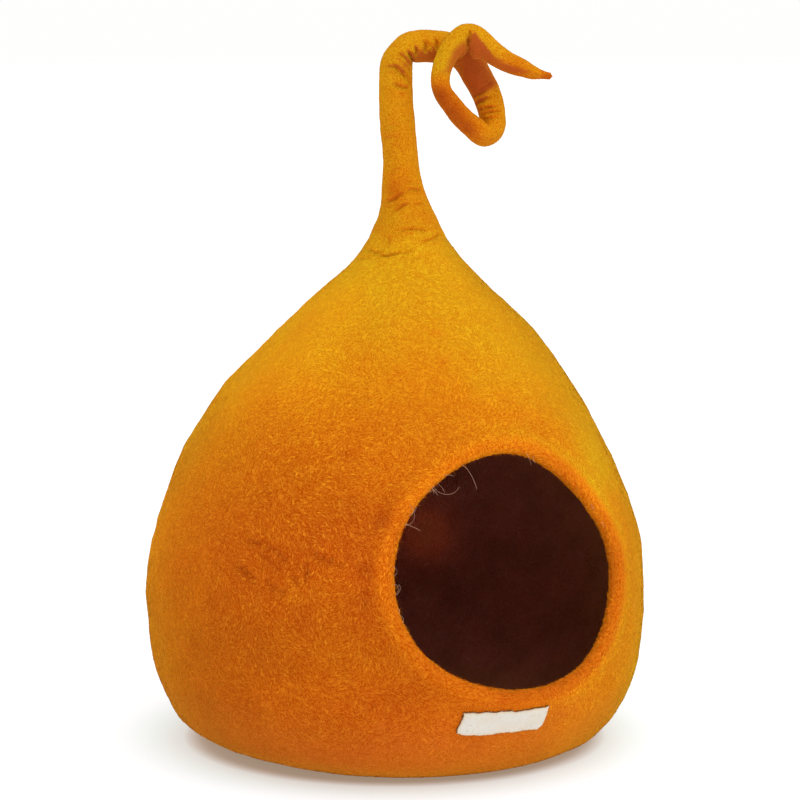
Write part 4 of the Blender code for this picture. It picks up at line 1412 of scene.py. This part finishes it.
def make_thread(colours):
    """Sewing cotton, its twist a fine slanted ripple."""
    material, tree, shader, place = new_material("sewing_cotton", 0.7)
    twist = band(tree, noise(tree, place, 2400.0, 1.0), 0.3, 0.7)
    colour = mix_colour(tree, twist, colours.label_shade, colours.label)
    tree.links.new(colour, shader.inputs["Base Color"])
    return material


# --- Sizes and colours that a user would change ---


def length_property(name, description, default):
    """A length in metres that a user sets."""
    return FloatProperty(
        name=name, description=description, default=default, min=0,
        unit="LENGTH", subtype="DISTANCE",
    )


def factor_property(name, description, default):
    """A strength that a user sets."""
    return FloatProperty(
        name=name, description=description, default=default, min=0, subtype="FACTOR"
    )


def angle_property(name, description, degrees):
    """An angle that a user sets."""
    return FloatProperty(
        name=name, description=description, default=np.radians(degrees),
        unit="ROTATION", subtype="ANGLE",
    )


def colour_property(name, description, default):
    """A colour that a user picks."""
    return FloatVectorProperty(
        name=name, description=description, default=default, size=3, min=0, max=1, subtype="COLOR"
    )


class FeltCaveSizes(bpy.types.PropertyGroup):
    """Sizes of the felt's relief, its fibres, and what is sewn on."""

    lumps: length_property("Lumps", "Height of the felt's slow unevenness", 0.0011)
    creases: factor_property("Creases", "How deep creases are, against their own depths", 1.0)
    fibre_length: length_property("Fibre length", "Middle length of the short fibres", 0.0048)
    fibre_width: length_property("Fibre width", "Width of a tuft in its middle", 0.00085)
    fibre_ridge: length_property("Fibre ridge", "Height of a tuft along its middle", 0.00012)
    fibre_lift: length_property("Fibre lift", "How far ruffled fibres stand off", 0.0005)
    fibre_contrast: factor_property("Fibre contrast", "Fibres against the gaps", 1.0)
    fibres: IntProperty(
        name="Fibres",
        description="Short fibres in each of the four parts of the felt",
        default=47000,
        min=100,
    )
    label_thickness: length_property("Label thickness", "Thickness of its cloth", 0.0008)
    stitch_length: length_property("Stitch length", "A stitch on the label's edge", 0.0026)
    thread_thickness: length_property("Thread thickness", "The sewing thread", 0.00035)


class FeltCaveColours(bpy.types.PropertyGroup):
    """Colours of the wool, the label and the thread."""

    # Rust is also the colour of painted shade in creases and on the tail.
    rust_and_shade: colour_property("Rust", "Wool in pits and creases", (0.36, 0.052, 0.0045))
    deep: colour_property("Deep orange", "Wool low on the front", (0.510, 0.106, 0.0050))
    orange: colour_property("Orange", "Wool between deep orange and gold", (0.650, 0.174, 0.0055))
    golden: colour_property("Golden", "Wool high on the body", (0.712, 0.250, 0.0060))
    pale: colour_property("Pale gold", "The most golden wool", (0.720, 0.372, 0.0080))
    # Painted shade on the tail's facets and on what faces down.
    shaded: colour_property("Shaded wool", "Smooth wool under the tail", (0.48, 0.088, 0.018))
    # A painted shaded copy of the wool, for the hollow.
    hollow: colour_property("Hollow", "Wool inside the cave", (0.455, 0.157, 0.122))
    fibre: colour_property("Fibre marks", "Wool is times this on its lightest marks", (1, 1, 1))
    # Painted shade in the gaps between fibre marks.
    gap: colour_property("Gaps", "Wool is times this in its deepest gaps", (0.76, 0.46, 0.20))
    pore: colour_property("Pores", "Darkens the pores", (0.55, 0.28, 0.30))
    bloom: colour_property("Bloom", "Glow of fine fuzz at a slant", (0.95, 0.62, 0.02))
    hair: colour_property("Loose hairs", "Long hairs at the entrance", (0.72, 0.42, 0.32))
    # Painted shadow line under the label's edge.
    seam: colour_property("Seam", "Wool pressed down at the label's edge", (0.20, 0.055, 0.012))
    label: colour_property("Label", "Cloth of the label", (0.84, 0.80, 0.72))
    label_edge: colour_property("Label, edge", "Its turned edge", (0.88, 0.70, 0.46))
    label_warm: colour_property("Label, warm", "Warmer cloth of the label", (0.84, 0.76, 0.64))
    label_shade: colour_property("Label, shaded", "Between the label's threads", (0.60, 0.52, 0.42))


class FeltCaveStage(bpy.types.PropertyGroup):
    """The floor, the light and the camera."""

    floor: colour_property("Floor", "Colour of the floor", (0.40, 0.40, 0.40))
    floor_glow: factor_property("Floor glow", "Strength of the light under the floor", 0.73)
    top_light: factor_property("Top light", "Strength of the wide soft light from above", 1.5)
    top_light_size: angle_property("Top light size", "How wide that light is", 70.0)
    room_light: factor_property("Room light", "Strength of the even light all round", 0.72)
    lens: FloatProperty(
        name="Lens", description="Focal length in millimetres", default=114.9, unit="CAMERA"
    )
    camera_distance: length_property("Camera distance", "From the camera to the cave", 2.15)
    camera_azimuth: angle_property("Camera azimuth", "Camera's turn round the cave", -30.0)
    camera_elevation: angle_property("Camera elevation", "Camera's height angle", 8.35)


# --- Operators ---


class FELTCAVE_OT_stage(bpy.types.Operator):
    """Makes the pale floor, the soft studio light and the camera"""

    bl_idname = "felt_cave.stage"
    bl_label = "Stage"

    def execute(self, context):
        stage = context.scene.felt_cave_stage
        self.add_floor(stage)
        self.add_world(context.scene, stage)
        self.add_lamp(stage)
        self.add_camera(context.scene, stage)
        context.scene.view_settings.view_transform = "Standard"
        return {"FINISHED"}

    def add_floor(self, stage):
        """A disc on the ground: circles of growing radius."""
        turn = 2 * np.pi * np.arange(96) / 96
        radii = np.array([0.5, 1.0, 2.0, 5.0, 12.0, 40.0])
        circle = np.stack([np.cos(turn), np.sin(turn), 0 * turn], -1)
        surface = Surface()
        rings = surface.add(radii[::-1, None, None] * circle, BASE)
        surface.cells(rings, (0, 0, 1, 1))
        surface.close(rings[-1], np.zeros(3), BASE, (0, 0, 1, 1))
        disc = surface.finished()
        material, tree, shader, place = new_material("studio_floor", 0.6)
        shade = band(tree, noise(tree, place, 3.0, 2.0), 0.3, 0.7, 0.0, 0.1)
        paper = mix_colour(tree, shade, stage.floor, (0.37, 0.37, 0.37))
        tree.links.new(paper, shader.inputs["Base Color"])
        shader.inputs["Specular IOR Level"].default_value = 0.05
        shift, turn = (0.002, 0.0, 0.0), (0.0, 0.0, -TAIL_TURN)
        values = {"Vector": place, "Location": shift, "Rotation": turn}
        turned = add_node(tree, "ShaderNodeMapping", values).outputs[0]
        values = {0: turned, 1: (1 / FLOOR_SHADOW_OVAL, 1.0, 1.0)}
        oval = add_node(tree, "ShaderNodeVectorMath", values, operation="MULTIPLY").outputs[0]
        away = add_node(tree, "ShaderNodeVectorMath", {0: oval}, operation="LENGTH")
        away = away.outputs["Value"]
        # The ramp paints the cave's shadow into the floor's glow.
        glow = add_node(tree, "ShaderNodeValToRGB", {"Fac": away})
        stops = glow.color_ramp.elements
        for distance, *tint in FLOOR_SHADOW_TINTS[1:-1]:
            stops.new(distance)
        for stop, (distance, *tint) in zip(stops, FLOOR_SHADOW_TINTS):
            stop.position = distance
            stop.color = (*tint, 1.0)
        tree.links.new(glow.outputs["Color"], shader.inputs["Emission Color"])
        shader.inputs["Emission Strength"].default_value = stage.floor_glow
        faces = (disc.quads, disc.triangles)
        make_object("studio_floor", disc.points, faces, material)

    def add_world(self, scene, stage):
        """Even light all round, and plain white where the camera sees past the floor."""
        world = bpy.data.worlds.new("studio_world")
        world.use_nodes = True
        tree = world.node_tree
        tree.nodes.clear()
        seen = add_node(tree, "ShaderNodeLightPath").outputs["Is Camera Ray"]
        values = {"Value": seen, "To Min": stage.room_light, "To Max": 1.0}
        strength = add_node(tree, "ShaderNodeMapRange", values).outputs["Result"]
        values = {"Color": (1.0, 0.995, 0.99, 1.0), "Strength": strength}
        light = add_node(tree, "ShaderNodeBackground", values)
        add_node(tree, "ShaderNodeOutputWorld", {"Surface": light.outputs["Background"]})
        scene.world = world

    def add_lamp(self, stage):
        """A wide soft light from above, a little from the right and the front."""
        lamp = bpy.data.lights.new("top_light", "SUN")
        lamp.energy = stage.top_light
        lamp.angle = stage.top_light_size
        holder = bpy.data.objects.new("top_light", lamp)
        holder.rotation_euler = (-Vector(TOP_LIGHT_FROM)).to_track_quat("-Z", "Y").to_euler()
        bpy.context.scene.collection.objects.link(holder)

    def add_camera(self, scene, stage):
        """A camera on a sphere round the cave, looking at the cave's middle height."""
        a, e = stage.camera_azimuth, stage.camera_elevation
        back = Vector((np.sin(a) * np.cos(e), -np.cos(a) * np.cos(e), np.sin(e)))
        aim = Vector(CAMERA_AIM)
        data = bpy.data.cameras.new("camera")
        data.lens = stage.lens
        camera = bpy.data.objects.new("camera", data)
        camera.location = aim + back * stage.camera_distance
        camera.rotation_euler = (-back).to_track_quat("-Z", "Y").to_euler()
        scene.collection.objects.link(camera)
        scene.camera = camera


SKIN = SimpleNamespace(points=None)


def chosen(context):
    """The sizes and the colours that are set."""
    return context.scene.felt_cave_sizes, context.scene.felt_cave_colours


def need_skin():
    """Stops an operator that lays wool on the felt skin before there is one."""
    if SKIN.points is None:
        raise RuntimeError("make the felt skin first")


class FELTCAVE_OT_felt_skin(bpy.types.Operator):
    """Makes the felt: body, neck, looped tail, hollow and rounded entrance in one closed skin"""

    bl_idname = "felt_cave.felt_skin"
    bl_label = "Felt skin"

    def execute(self, context):
        sizes, colours = chosen(context)
        skin = skin_surface()
        rest = np.where((skin.zones == TAIL)[:, None], pushed(skin.points), skin.points)
        normals = point_normals(rest, skin.corners)
        outside = (skin.zones == OUTSIDE) | (skin.zones == TAIL)
        creases = np.where(outside, crease_relief(rest), 0.0) * sizes.creases
        lumps = lump_relief(rest, skin.zones, sizes) * quiet_near_label(rest)
        relief = (creases + lumps) * above_base(rest, skin.zones)
        skin.points = rest + relief[:, None] * normals
        skin.points[:, 2] = np.maximum(skin.points[:, 2], 0.0)
        skin.normals = point_normals(skin.points, skin.corners)
        # How much painted shade each crease gives the felt's colour.
        crease_shade = np.clip(-creases / 0.0014, 0, 1)
        turned = (normals - skin.normals) @ unit(np.array(TOP_LIGHT_FROM))
        skin.shade = tail_shade(skin.points, skin.normals, skin.zones)
        skin.colour = wool_colour(
            skin.points, skin.normals, skin.zones, crease_shade, skin.shade, turned, colours
        )
        skin.marks = mark_strength(skin.points, skin.zones, skin.shade)
        vars(SKIN).update(vars(skin))
        faces = (skin.quads, skin.triangles)
        piece = make_piece("felt_skin", skin.points, faces, make_felt(colours), "wool_felt")
        set_colour(piece, skin.colour)
        layer = piece.data.attributes.new(name="Marks", type="FLOAT", domain="POINT")
        layer.data.foreach_set("value", skin.marks.astype(np.float32))
        set_map(piece, "OFBake", skin.map)
        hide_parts("felt_cave")
        return {"FINISHED"}


FIBRE_PIECES = ("fibres_low", "fibres_middle", "fibres_upper", "fibres_top")


class FELTCAVE_OT_short_fibres(bpy.types.Operator):
    """Lays short wool fibres over the felt, in four joined pieces"""

    bl_idname = "felt_cave.short_fibres"
    bl_label = "Short fibres"

    def execute(self, context):
        need_skin()
        sizes, colours = chosen(context)
        random = np.random.default_rng(100)
        wool = make_fibre_wool(colours)
        total = sizes.fibres * len(FIBRE_PIECES)
        creased = crease_tufts(SKIN, random)
        strewn = total - len(creased[0])
        place, normal, near = sample_surface(SKIN, strewn, self.density(), random)
        gap = random.random(strewn) < gap_share(SKIN.points, SKIN.zones)[near]
        level = np.where(gap, ease((place[:, 2] - 0.25) / 0.08), 0.0)
        tufts = (place, normal, near, swirls(place, normal, level, random))
        place, normal, near, ahead = map(np.concatenate, zip(tufts, creased))
        along_crease = np.arange(total) >= strewn
        gap = np.concatenate([gap, along_crease[strewn:]])
        tail, edge = SKIN.zones[near] == TAIL, SKIN.zones[near] == EDGE
        length = sizes.fibre_length * random.uniform(0.45, 1.35, total)
        length = length * np.where(tail, 0.55, 1) * np.where(gap, 0.62, 1)
        lift = sizes.fibre_lift * np.where(tail, 0.3, 1.0) * np.where(edge, 3.0, 1.0)
        lift = lift * np.where(gap, 0.2, 1.0)
        rise = random.uniform(0.0, 0.00010, total) + np.where(along_crease, 0.00012, 0.0)
        path, beside = fibre_paths(place, normal, ahead, length, lift, rise, random)
        width = sizes.fibre_width * random.uniform(0.55, 1.35, total)
        width = width * np.where(tail, 0.7, 1) * np.where(gap, 0.66, 0.85)
        colour = self.fibre_colours(near, gap, along_crease, sizes, random)
        order = np.lexsort([angle_of(place), place[:, 2] // 0.004])
        for i, name in enumerate(FIBRE_PIECES):
            part = order[i * sizes.fibres : (i + 1) * sizes.fibres]
            points, triangles, places = slivers(
                path[part], beside[part], normal[part], width[part], sizes.fibre_ridge
            )
            piece = make_piece(name, points, [triangles], wool, "wool_felt", smooth=False)
            set_colour(piece, np.repeat(colour[part], 4, axis=0))
            set_map(piece, "OFBake", places)
        return {"FINISHED"}

    def density(self):
        """How closely fibres lie on each part of the skin: none on the base or the label."""
        points, zones = SKIN.points, SKIN.zones
        clear = (quiet_near_label(points) > 0.05) | (zones == INSIDE)
        up = ease((points[:, 2] - 0.002) / 0.004)
        return ZONE_TUFTS[zones] * np.where(clear, up, 0.0) * (1 - ease(SKIN.shade / 0.7))

    def fibre_colours(self, near, gap, along_crease, sizes, random):
        """The felt's colour at each tuft: most are a little lighter and more golden, and the gaps
        between them much darker and redder with painted shade, as are the tufts along creases."""
        count = len(near)
        marks = SKIN.marks[near]
        tuft = random.normal(0.60, 0.7, count).clip(-1.0, 2.0) * marks
        dark = -random.uniform(2.0, 4.2, count) * np.clip(0.25 + 0.75 * marks, 0, 1.35)
        creased = -random.uniform(2.2, 4.0, count)
        creased = creased * (1 - 0.55 * ease((SKIN.points[near, 2] - 0.37) / 0.03))
        dark = np.where(along_crease, creased, dark)
        lighter = sizes.fibre_contrast * np.where(gap, dark, tuft)[:, None]
        change = np.where(lighter > 0, LIGHT_CHANGE, DARK_CHANGE)
        return np.clip(SKIN.colour[near] * np.exp(lighter * change), 0, 1)


# Loose hairs at the entrance. Columns: degrees round its edge from the right, degrees that the
# hair heads off from straight inward, its length, and degrees that it turns on the way.
LONG_HAIRS = (
    (113, -30, 0.027, 34),
    (132, 32, 0.029, -150),
    (130, -10, 0.012, 30),
    (125, -84, 0.010, 60),
    (137, -42, 0.009, -45),
    (134, -15, 0.010, 60),
    (133, 20, 0.008, 40),
    (157, -7, 0.024, -150),
    (156, -2, 0.015, 8),
    (152, -50, 0.008, -60),
    (146, 10, 0.007, 120),
    (74, -34, 0.013, 34),
    (70, 20, 0.008, -60),
    (28, 10, 0.007, 150),
    (20, -20, 0.006, -90),
    (181, 10, 0.012, -170),
    (185, -10, 0.011, 160),
    (190, 0, 0.013, -140),
    (196, 20, 0.009, 200),
    (203, -20, 0.008, -120),
)
# Short fuzz all round the entrance's edge.
FUZZ_HAIRS = 420


class FELTCAVE_OT_loose_curls(bpy.types.Operator):
    """Adds loose curls of wool round the entrance"""

    bl_idname = "felt_cave.loose_curls"
    bl_label = "Loose curls"

    def execute(self, context):
        need_skin()
        sizes, colours = chosen(context)
        random = np.random.default_rng(7)
        fuzz = np.stack([
            random.uniform(0, 360, FUZZ_HAIRS),
            random.normal(0, 50, FUZZ_HAIRS),
            0.0012 + 0.0035 * random.random(FUZZ_HAIRS) ** 2,
            random.normal(0, 60, FUZZ_HAIRS),
        ], axis=-1)
        hairs = np.concatenate([np.array(LONG_HAIRS, float), fuzz])
        long = np.arange(len(hairs)) < len(LONG_HAIRS)
        around = np.radians(hairs[:, 0])
        over = np.where(long, np.radians(60), np.radians(random.uniform(35, 110, len(hairs))))
        inward, beside = self.ways(around, WALL / 2)
        out = unit(np.cross(beside, inward))
        half = WALL / 2 + LIP_SWELL
        start = self.edge(around, WALL / 2) + (half - 0.0003) * (
            np.sin(over)[:, None] * inward + np.cos(over)[:, None] * out
        )
        path = hair_paths(start, inward, beside, out, *np.radians(hairs[:, [1, 3]]).T,
                          hairs[:, 2], random)
        thick = np.where(long, 0.00016, 0.00013)[:, None] * np.linspace(1.0, 0.6, path.shape[1])
        wool = bpy.data.materials["wool_fibres"]
        points, faces = strand_mesh(path, thick, 3)
        piece = make_piece("loose_curls", points, faces, wool, "wool_felt")
        tint = np.where(long[:, None], colours.hair, colours.golden)
        tint = tint * random.uniform(0.7, 1.0, (len(hairs), 1))
        set_colour(piece, np.repeat(tint, len(points) // len(hairs), axis=0))
        return {"FINISHED"}

    def edge(self, around, depth, size=1.0):
        """A place on the entrance's oval at an angle round it, this deep in the wall."""
        size = size * oval_bulge(around)
        across = size * ENTRANCE_HALF_WIDTH * np.cos(around)
        along = size * ENTRANCE_HALF_HEIGHT * np.sin(around) + ENTRANCE_SLANT * across
        return wall(across / ENTRANCE_RADIUS, ENTRANCE_ARC + along, depth)

    def ways(self, around, depth):
        """Unit steps from the oval's edge towards its middle, and along the edge."""
        here = self.edge(around, depth)
        inner = unit(self.edge(around, depth, 0.9) - here)
        beside = unit(self.edge(around + 0.02, depth) - here)
        return inner, beside


class FELTCAVE_OT_label(bpy.types.Operator):
    """Makes the bare cloth label with uneven edges"""

    bl_idname = "felt_cave.label"
    bl_label = "Label"

    def execute(self, context):
        sizes, colours = chosen(context)
        u, v = np.meshgrid(*(np.linspace(-0.5, 0.5, n + 1) for n in (LABEL_COLUMNS, LABEL_ROWS)))
        back = over_label(u, v, 0.0)
        front = over_label(u, v, sizes.label_thickness)
        points, quads = sheet_mesh(back, front)
        cloth = make_label_cloth(colours)
        label = make_piece("label_cloth", points, [quads], cloth, "label_cloth")
        flat = np.stack([(u * LABEL_WIDTH).ravel(), (v * LABEL_HEIGHT).ravel()], -1)
        corners = np.empty(len(label.data.loops), np.int32)
        label.data.loops.foreach_get("vertex_index", corners)
        set_map(label, "Cloth", np.tile(flat, (2, 1))[corners])
        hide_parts("sewn_label")
        return {"FINISHED"}


def label_place(u, v):
    """Angle and arc length of a place on the label. Its edges wander, the top one turns up at the
    right, the bottom one sags left of its middle, and both lower corners are rounded off."""
    top = 0.0005 * line_noise(u, 0.09, 31) + 0.0003 * line_noise(u, 0.03, 32)
    top = top + 0.0018 * ease((u - 0.15) / 0.42) - 0.0006
    bottom = 0.0005 * line_noise(u, 0.08, 33) + 0.0003 * line_noise(u, 0.03, 34)
    bottom = bottom - 0.0013 * hump((u + 0.22) / 0.2)
    bottom = bottom + 0.0012 * ease((-0.40 - u) / 0.1)
    left = 0.0006 * line_noise(v, 0.25, 35) + 0.0008 * ease((-0.30 - v) / 0.2)
    right = 0.0006 * line_noise(v, 0.25, 36) + 0.0012 * ease((0.45 - v) / 0.4)
    right = right + 0.0026 * ease((0.5 - v) / 0.6) - 0.0022 * ease((-0.30 - v) / 0.2) - 0.0008
    across = u * LABEL_WIDTH + np.where(u > 0, right, left) * np.abs(2 * u) ** 3
    along = v * LABEL_HEIGHT + np.where(v > 0, top, bottom) * np.abs(2 * v) ** 2
    run = across + along * LABEL_SHEAR
    angle = (LABEL_ASIDE + run) / radius_at(LABEL_MIDDLE_HEIGHT)
    return angle, arc_at(LABEL_MIDDLE_HEIGHT) + along + LABEL_SLOPE * run


def label_wave(u, v):
    """How far the label stands off the felt: low waves, a little more along its edges."""
    place = np.stack([u * LABEL_WIDTH, v * LABEL_HEIGHT, 0 * u], -1)
    edge = np.maximum(np.abs(2 * u) ** 8, np.abs(2 * v) ** 6)
    return (0.00025 + 0.0003 * edge) * (1 + space_noise(place, 0.006, 37))


def over_label(u, v, height):
    """A place this high over the back of the label."""
    angle, arc = label_place(u, v)
    out = LABEL_GAP + label_wave(u, v) + height
    return wall(angle, arc, 0.0) + out[..., None] * wall_normal(angle, arc)


def sheet_mesh(back, front):
    """A closed sheet from the grids of its two sides: both sides and a band round the rim."""
    rows, columns = back.shape[:2]
    grid = np.arange(rows * columns).reshape(rows, columns)
    cells = np.stack([grid[:-1, :-1], grid[:-1, 1:], grid[1:, 1:], grid[1:, :-1]], -1)
    cells = cells.reshape(-1, 4)
    rim = np.concatenate([grid[0, :-1], grid[:-1, -1], grid[-1, :0:-1], grid[:0:-1, 0]])
    lift = rows * columns
    band_faces = np.stack([rim, np.roll(rim, -1), np.roll(rim, -1) + lift, rim + lift], -1)
    points = np.concatenate([back.reshape(-1, 3), front.reshape(-1, 3)])
    return points, np.concatenate([cells[:, ::-1], cells + lift, band_faces])


class FELTCAVE_OT_stitches(bpy.types.Operator):
    """Sews the label on with small running stitches and frays its edges"""

    bl_idname = "felt_cave.stitches"
    bl_label = "Stitches and frayed threads"

    def execute(self, context):
        sizes, colours = chosen(context)
        thread = make_thread(colours)
        self.add_stitches(sizes, thread)
        self.add_fraying(sizes, thread)
        self.add_edge_shadow(colours)
        return {"FINISHED"}

    def add_edge_shadow(self, colours):
        """Dark tufts along the label's edge: a painted shadow line under the label."""
        random = np.random.default_rng(43)
        corner = np.array([(-0.5, -0.5), (0.5, -0.5), (0.5, 0.5), (-0.5, 0.5), (-0.5, -0.5)])
        run = chord_lengths(corner * (LABEL_WIDTH, LABEL_HEIGHT))
        at = np.sort(random.uniform(0, run[-1], EDGE_SHADOW_TUFTS))
        bottom = at < run[1]
        at = at[random.random(EDGE_SHADOW_TUFTS) < np.where(bottom, 0.6, 1.0)]
        ends = []
        for step in (0.0, 0.0010):
            angle, arc = label_place(*along_line((at + step) % run[-1], run, corner).T)
            normal = wall_normal(angle, arc)
            ends.append(wall(angle, arc, -0.00045))
        ahead = unit(ends[1] - ends[0])
        beside = np.cross(normal, ahead)
        place = ends[0] - beside * random.uniform(0.0001, 0.0007, (len(at), 1))
        length = random.uniform(0.0014, 0.0030, len(at))
        path, beside = fibre_paths(
            place, normal, ahead, length, np.zeros(len(at)), np.full(len(at), 0.0002), random
        )
        width = random.uniform(0.0005, 0.0009, len(at))
        points, triangles, places = slivers(path, beside, normal, width, 0.0001)
        wool = bpy.data.materials["wool_fibres"]
        piece = make_piece("label_edge_shadow", points, [triangles], wool, "wool_felt")
        tint = np.array(colours.seam) * random.uniform(0.7, 1.6, (len(at), 1))
        set_colour(piece, np.repeat(tint, 4, axis=0))
        set_map(piece, "OFBake", places)

    def add_stitches(self, sizes, thread):
        """Running stitches on a rectangle a little inside the edge: each dips in at its ends."""
        inset_u, inset_v = STITCH_INSET / LABEL_WIDTH, STITCH_INSET / LABEL_HEIGHT
        corner_u, corner_v = 0.5 - inset_u, 0.5 - inset_v
        path = np.array([
            (-corner_u, -corner_v), (corner_u - 0.05, -corner_v), (corner_u, -corner_v + 0.28),
            (corner_u, corner_v), (-corner_u, corner_v), (-corner_u, -corner_v),
        ])
        places = chord_lengths(path * (LABEL_WIDTH, LABEL_HEIGHT))
        pitch = sizes.stitch_length * 1.55
        count = int(places[-1] / pitch)
        start = np.arange(count) * places[-1] / count
        t = np.linspace(0, 1, 7)
        at = start[:, None] + t * sizes.stitch_length
        u, v = np.moveaxis(along_line(at, places, path), -1, 0)
        arch = (np.sin(np.pi * t) ** 0.5 - 0.75) * 0.4 * sizes.thread_thickness
        line = over_label(u, v, sizes.label_thickness + arch)
        radius = np.broadcast_to(
            sizes.thread_thickness / 2 * np.array([0.8, 1, 1, 1, 1, 0.8, 0.0]), u.shape
        )
        make_piece("label_stitches", *strand_mesh(line, radius, 6), thread, "label_cloth")

    def add_fraying(self, sizes, thread):
        """Thread ends that stick out of the label's cut edges."""
        random = np.random.default_rng(41)
        count = FRAYED_THREADS
        side = random.integers(0, 4, count)
        side = np.where(random.random(count) < 0.7, side % 2, side)
        s = random.uniform(-0.5, 0.5, count)
        u = np.choose(side, [s, s, np.full(count, -0.5), np.full(count, 0.5)])
        v = np.choose(side, [np.full(count, -0.5), np.full(count, 0.5), s, s])
        angle, arc = label_place(u, v)
        start = label_place(u * 0.99, v * 0.95)
        normal = wall_normal(angle, arc)
        height = LABEL_GAP + label_wave(u, v) + 0.5 * sizes.label_thickness
        edge = wall(angle, arc, 0.0) + height[:, None] * normal
        root = wall(*start, 0.0) + height[:, None] * normal
        out = unit(unit(edge - root) + random.normal(0, 0.35, (count, 3)))
        length = random.uniform(0.0004, 0.0016, (count, 1))
        path = np.stack([root, edge + 0.5 * length * out, edge + length * out], axis=1)
        thick = 0.00011 * random.uniform(0.7, 1.2, count)
        radius = thick[:, None] * np.array([1.0, 0.9, 0.0])
        make_piece("label_fraying", *strand_mesh(path, radius, 3), thread, "label_cloth")


class FELTCAVE_PT_panel(bpy.types.Panel):
    """Lists the cave's pieces, sizes and colours"""

    bl_label = "Felt Cave"
    bl_idname = "FELTCAVE_PT_panel"
    bl_space_type = "VIEW_3D"
    bl_region_type = "UI"
    bl_category = "Felt Cave"

    def draw(self, context):
        layout = self.layout
        for group in ("felt_cave_sizes", "felt_cave_colours", "felt_cave_stage"):
            box = layout.box()
            settings = getattr(context.scene, group)
            for name in settings.bl_rna.properties.keys():
                if name not in {"rna_type", "name"}:
                    box.prop(settings, name)
        for operator in OPERATORS:
            layout.operator(operator.bl_idname)


OPERATORS = (
    FELTCAVE_OT_stage,
    FELTCAVE_OT_felt_skin,
    FELTCAVE_OT_short_fibres,
    FELTCAVE_OT_loose_curls,
    FELTCAVE_OT_label,
    FELTCAVE_OT_stitches,
)
CLASSES = (FeltCaveSizes, FeltCaveColours, FeltCaveStage, *OPERATORS, FELTCAVE_PT_panel)


def register():
    for item in CLASSES:
        bpy.utils.register_class(item)
    bpy.types.Scene.felt_cave_sizes = PointerProperty(type=FeltCaveSizes)
    bpy.types.Scene.felt_cave_colours = PointerProperty(type=FeltCaveColours)
    bpy.types.Scene.felt_cave_stage = PointerProperty(type=FeltCaveStage)


def unregister():
    del bpy.types.Scene.felt_cave_stage
    del bpy.types.Scene.felt_cave_colours
    del bpy.types.Scene.felt_cave_sizes
    for item in reversed(CLASSES):
        bpy.utils.unregister_class(item)


def main():
    """Makes every piece in order."""
    register()
    bpy.ops.felt_cave.stage()
    bpy.ops.felt_cave.felt_skin()
    bpy.ops.felt_cave.short_fibres()
    bpy.ops.felt_cave.loose_curls()
    bpy.ops.felt_cave.label()
    bpy.ops.felt_cave.stitches()


if __name__ == "__main__":
    main()
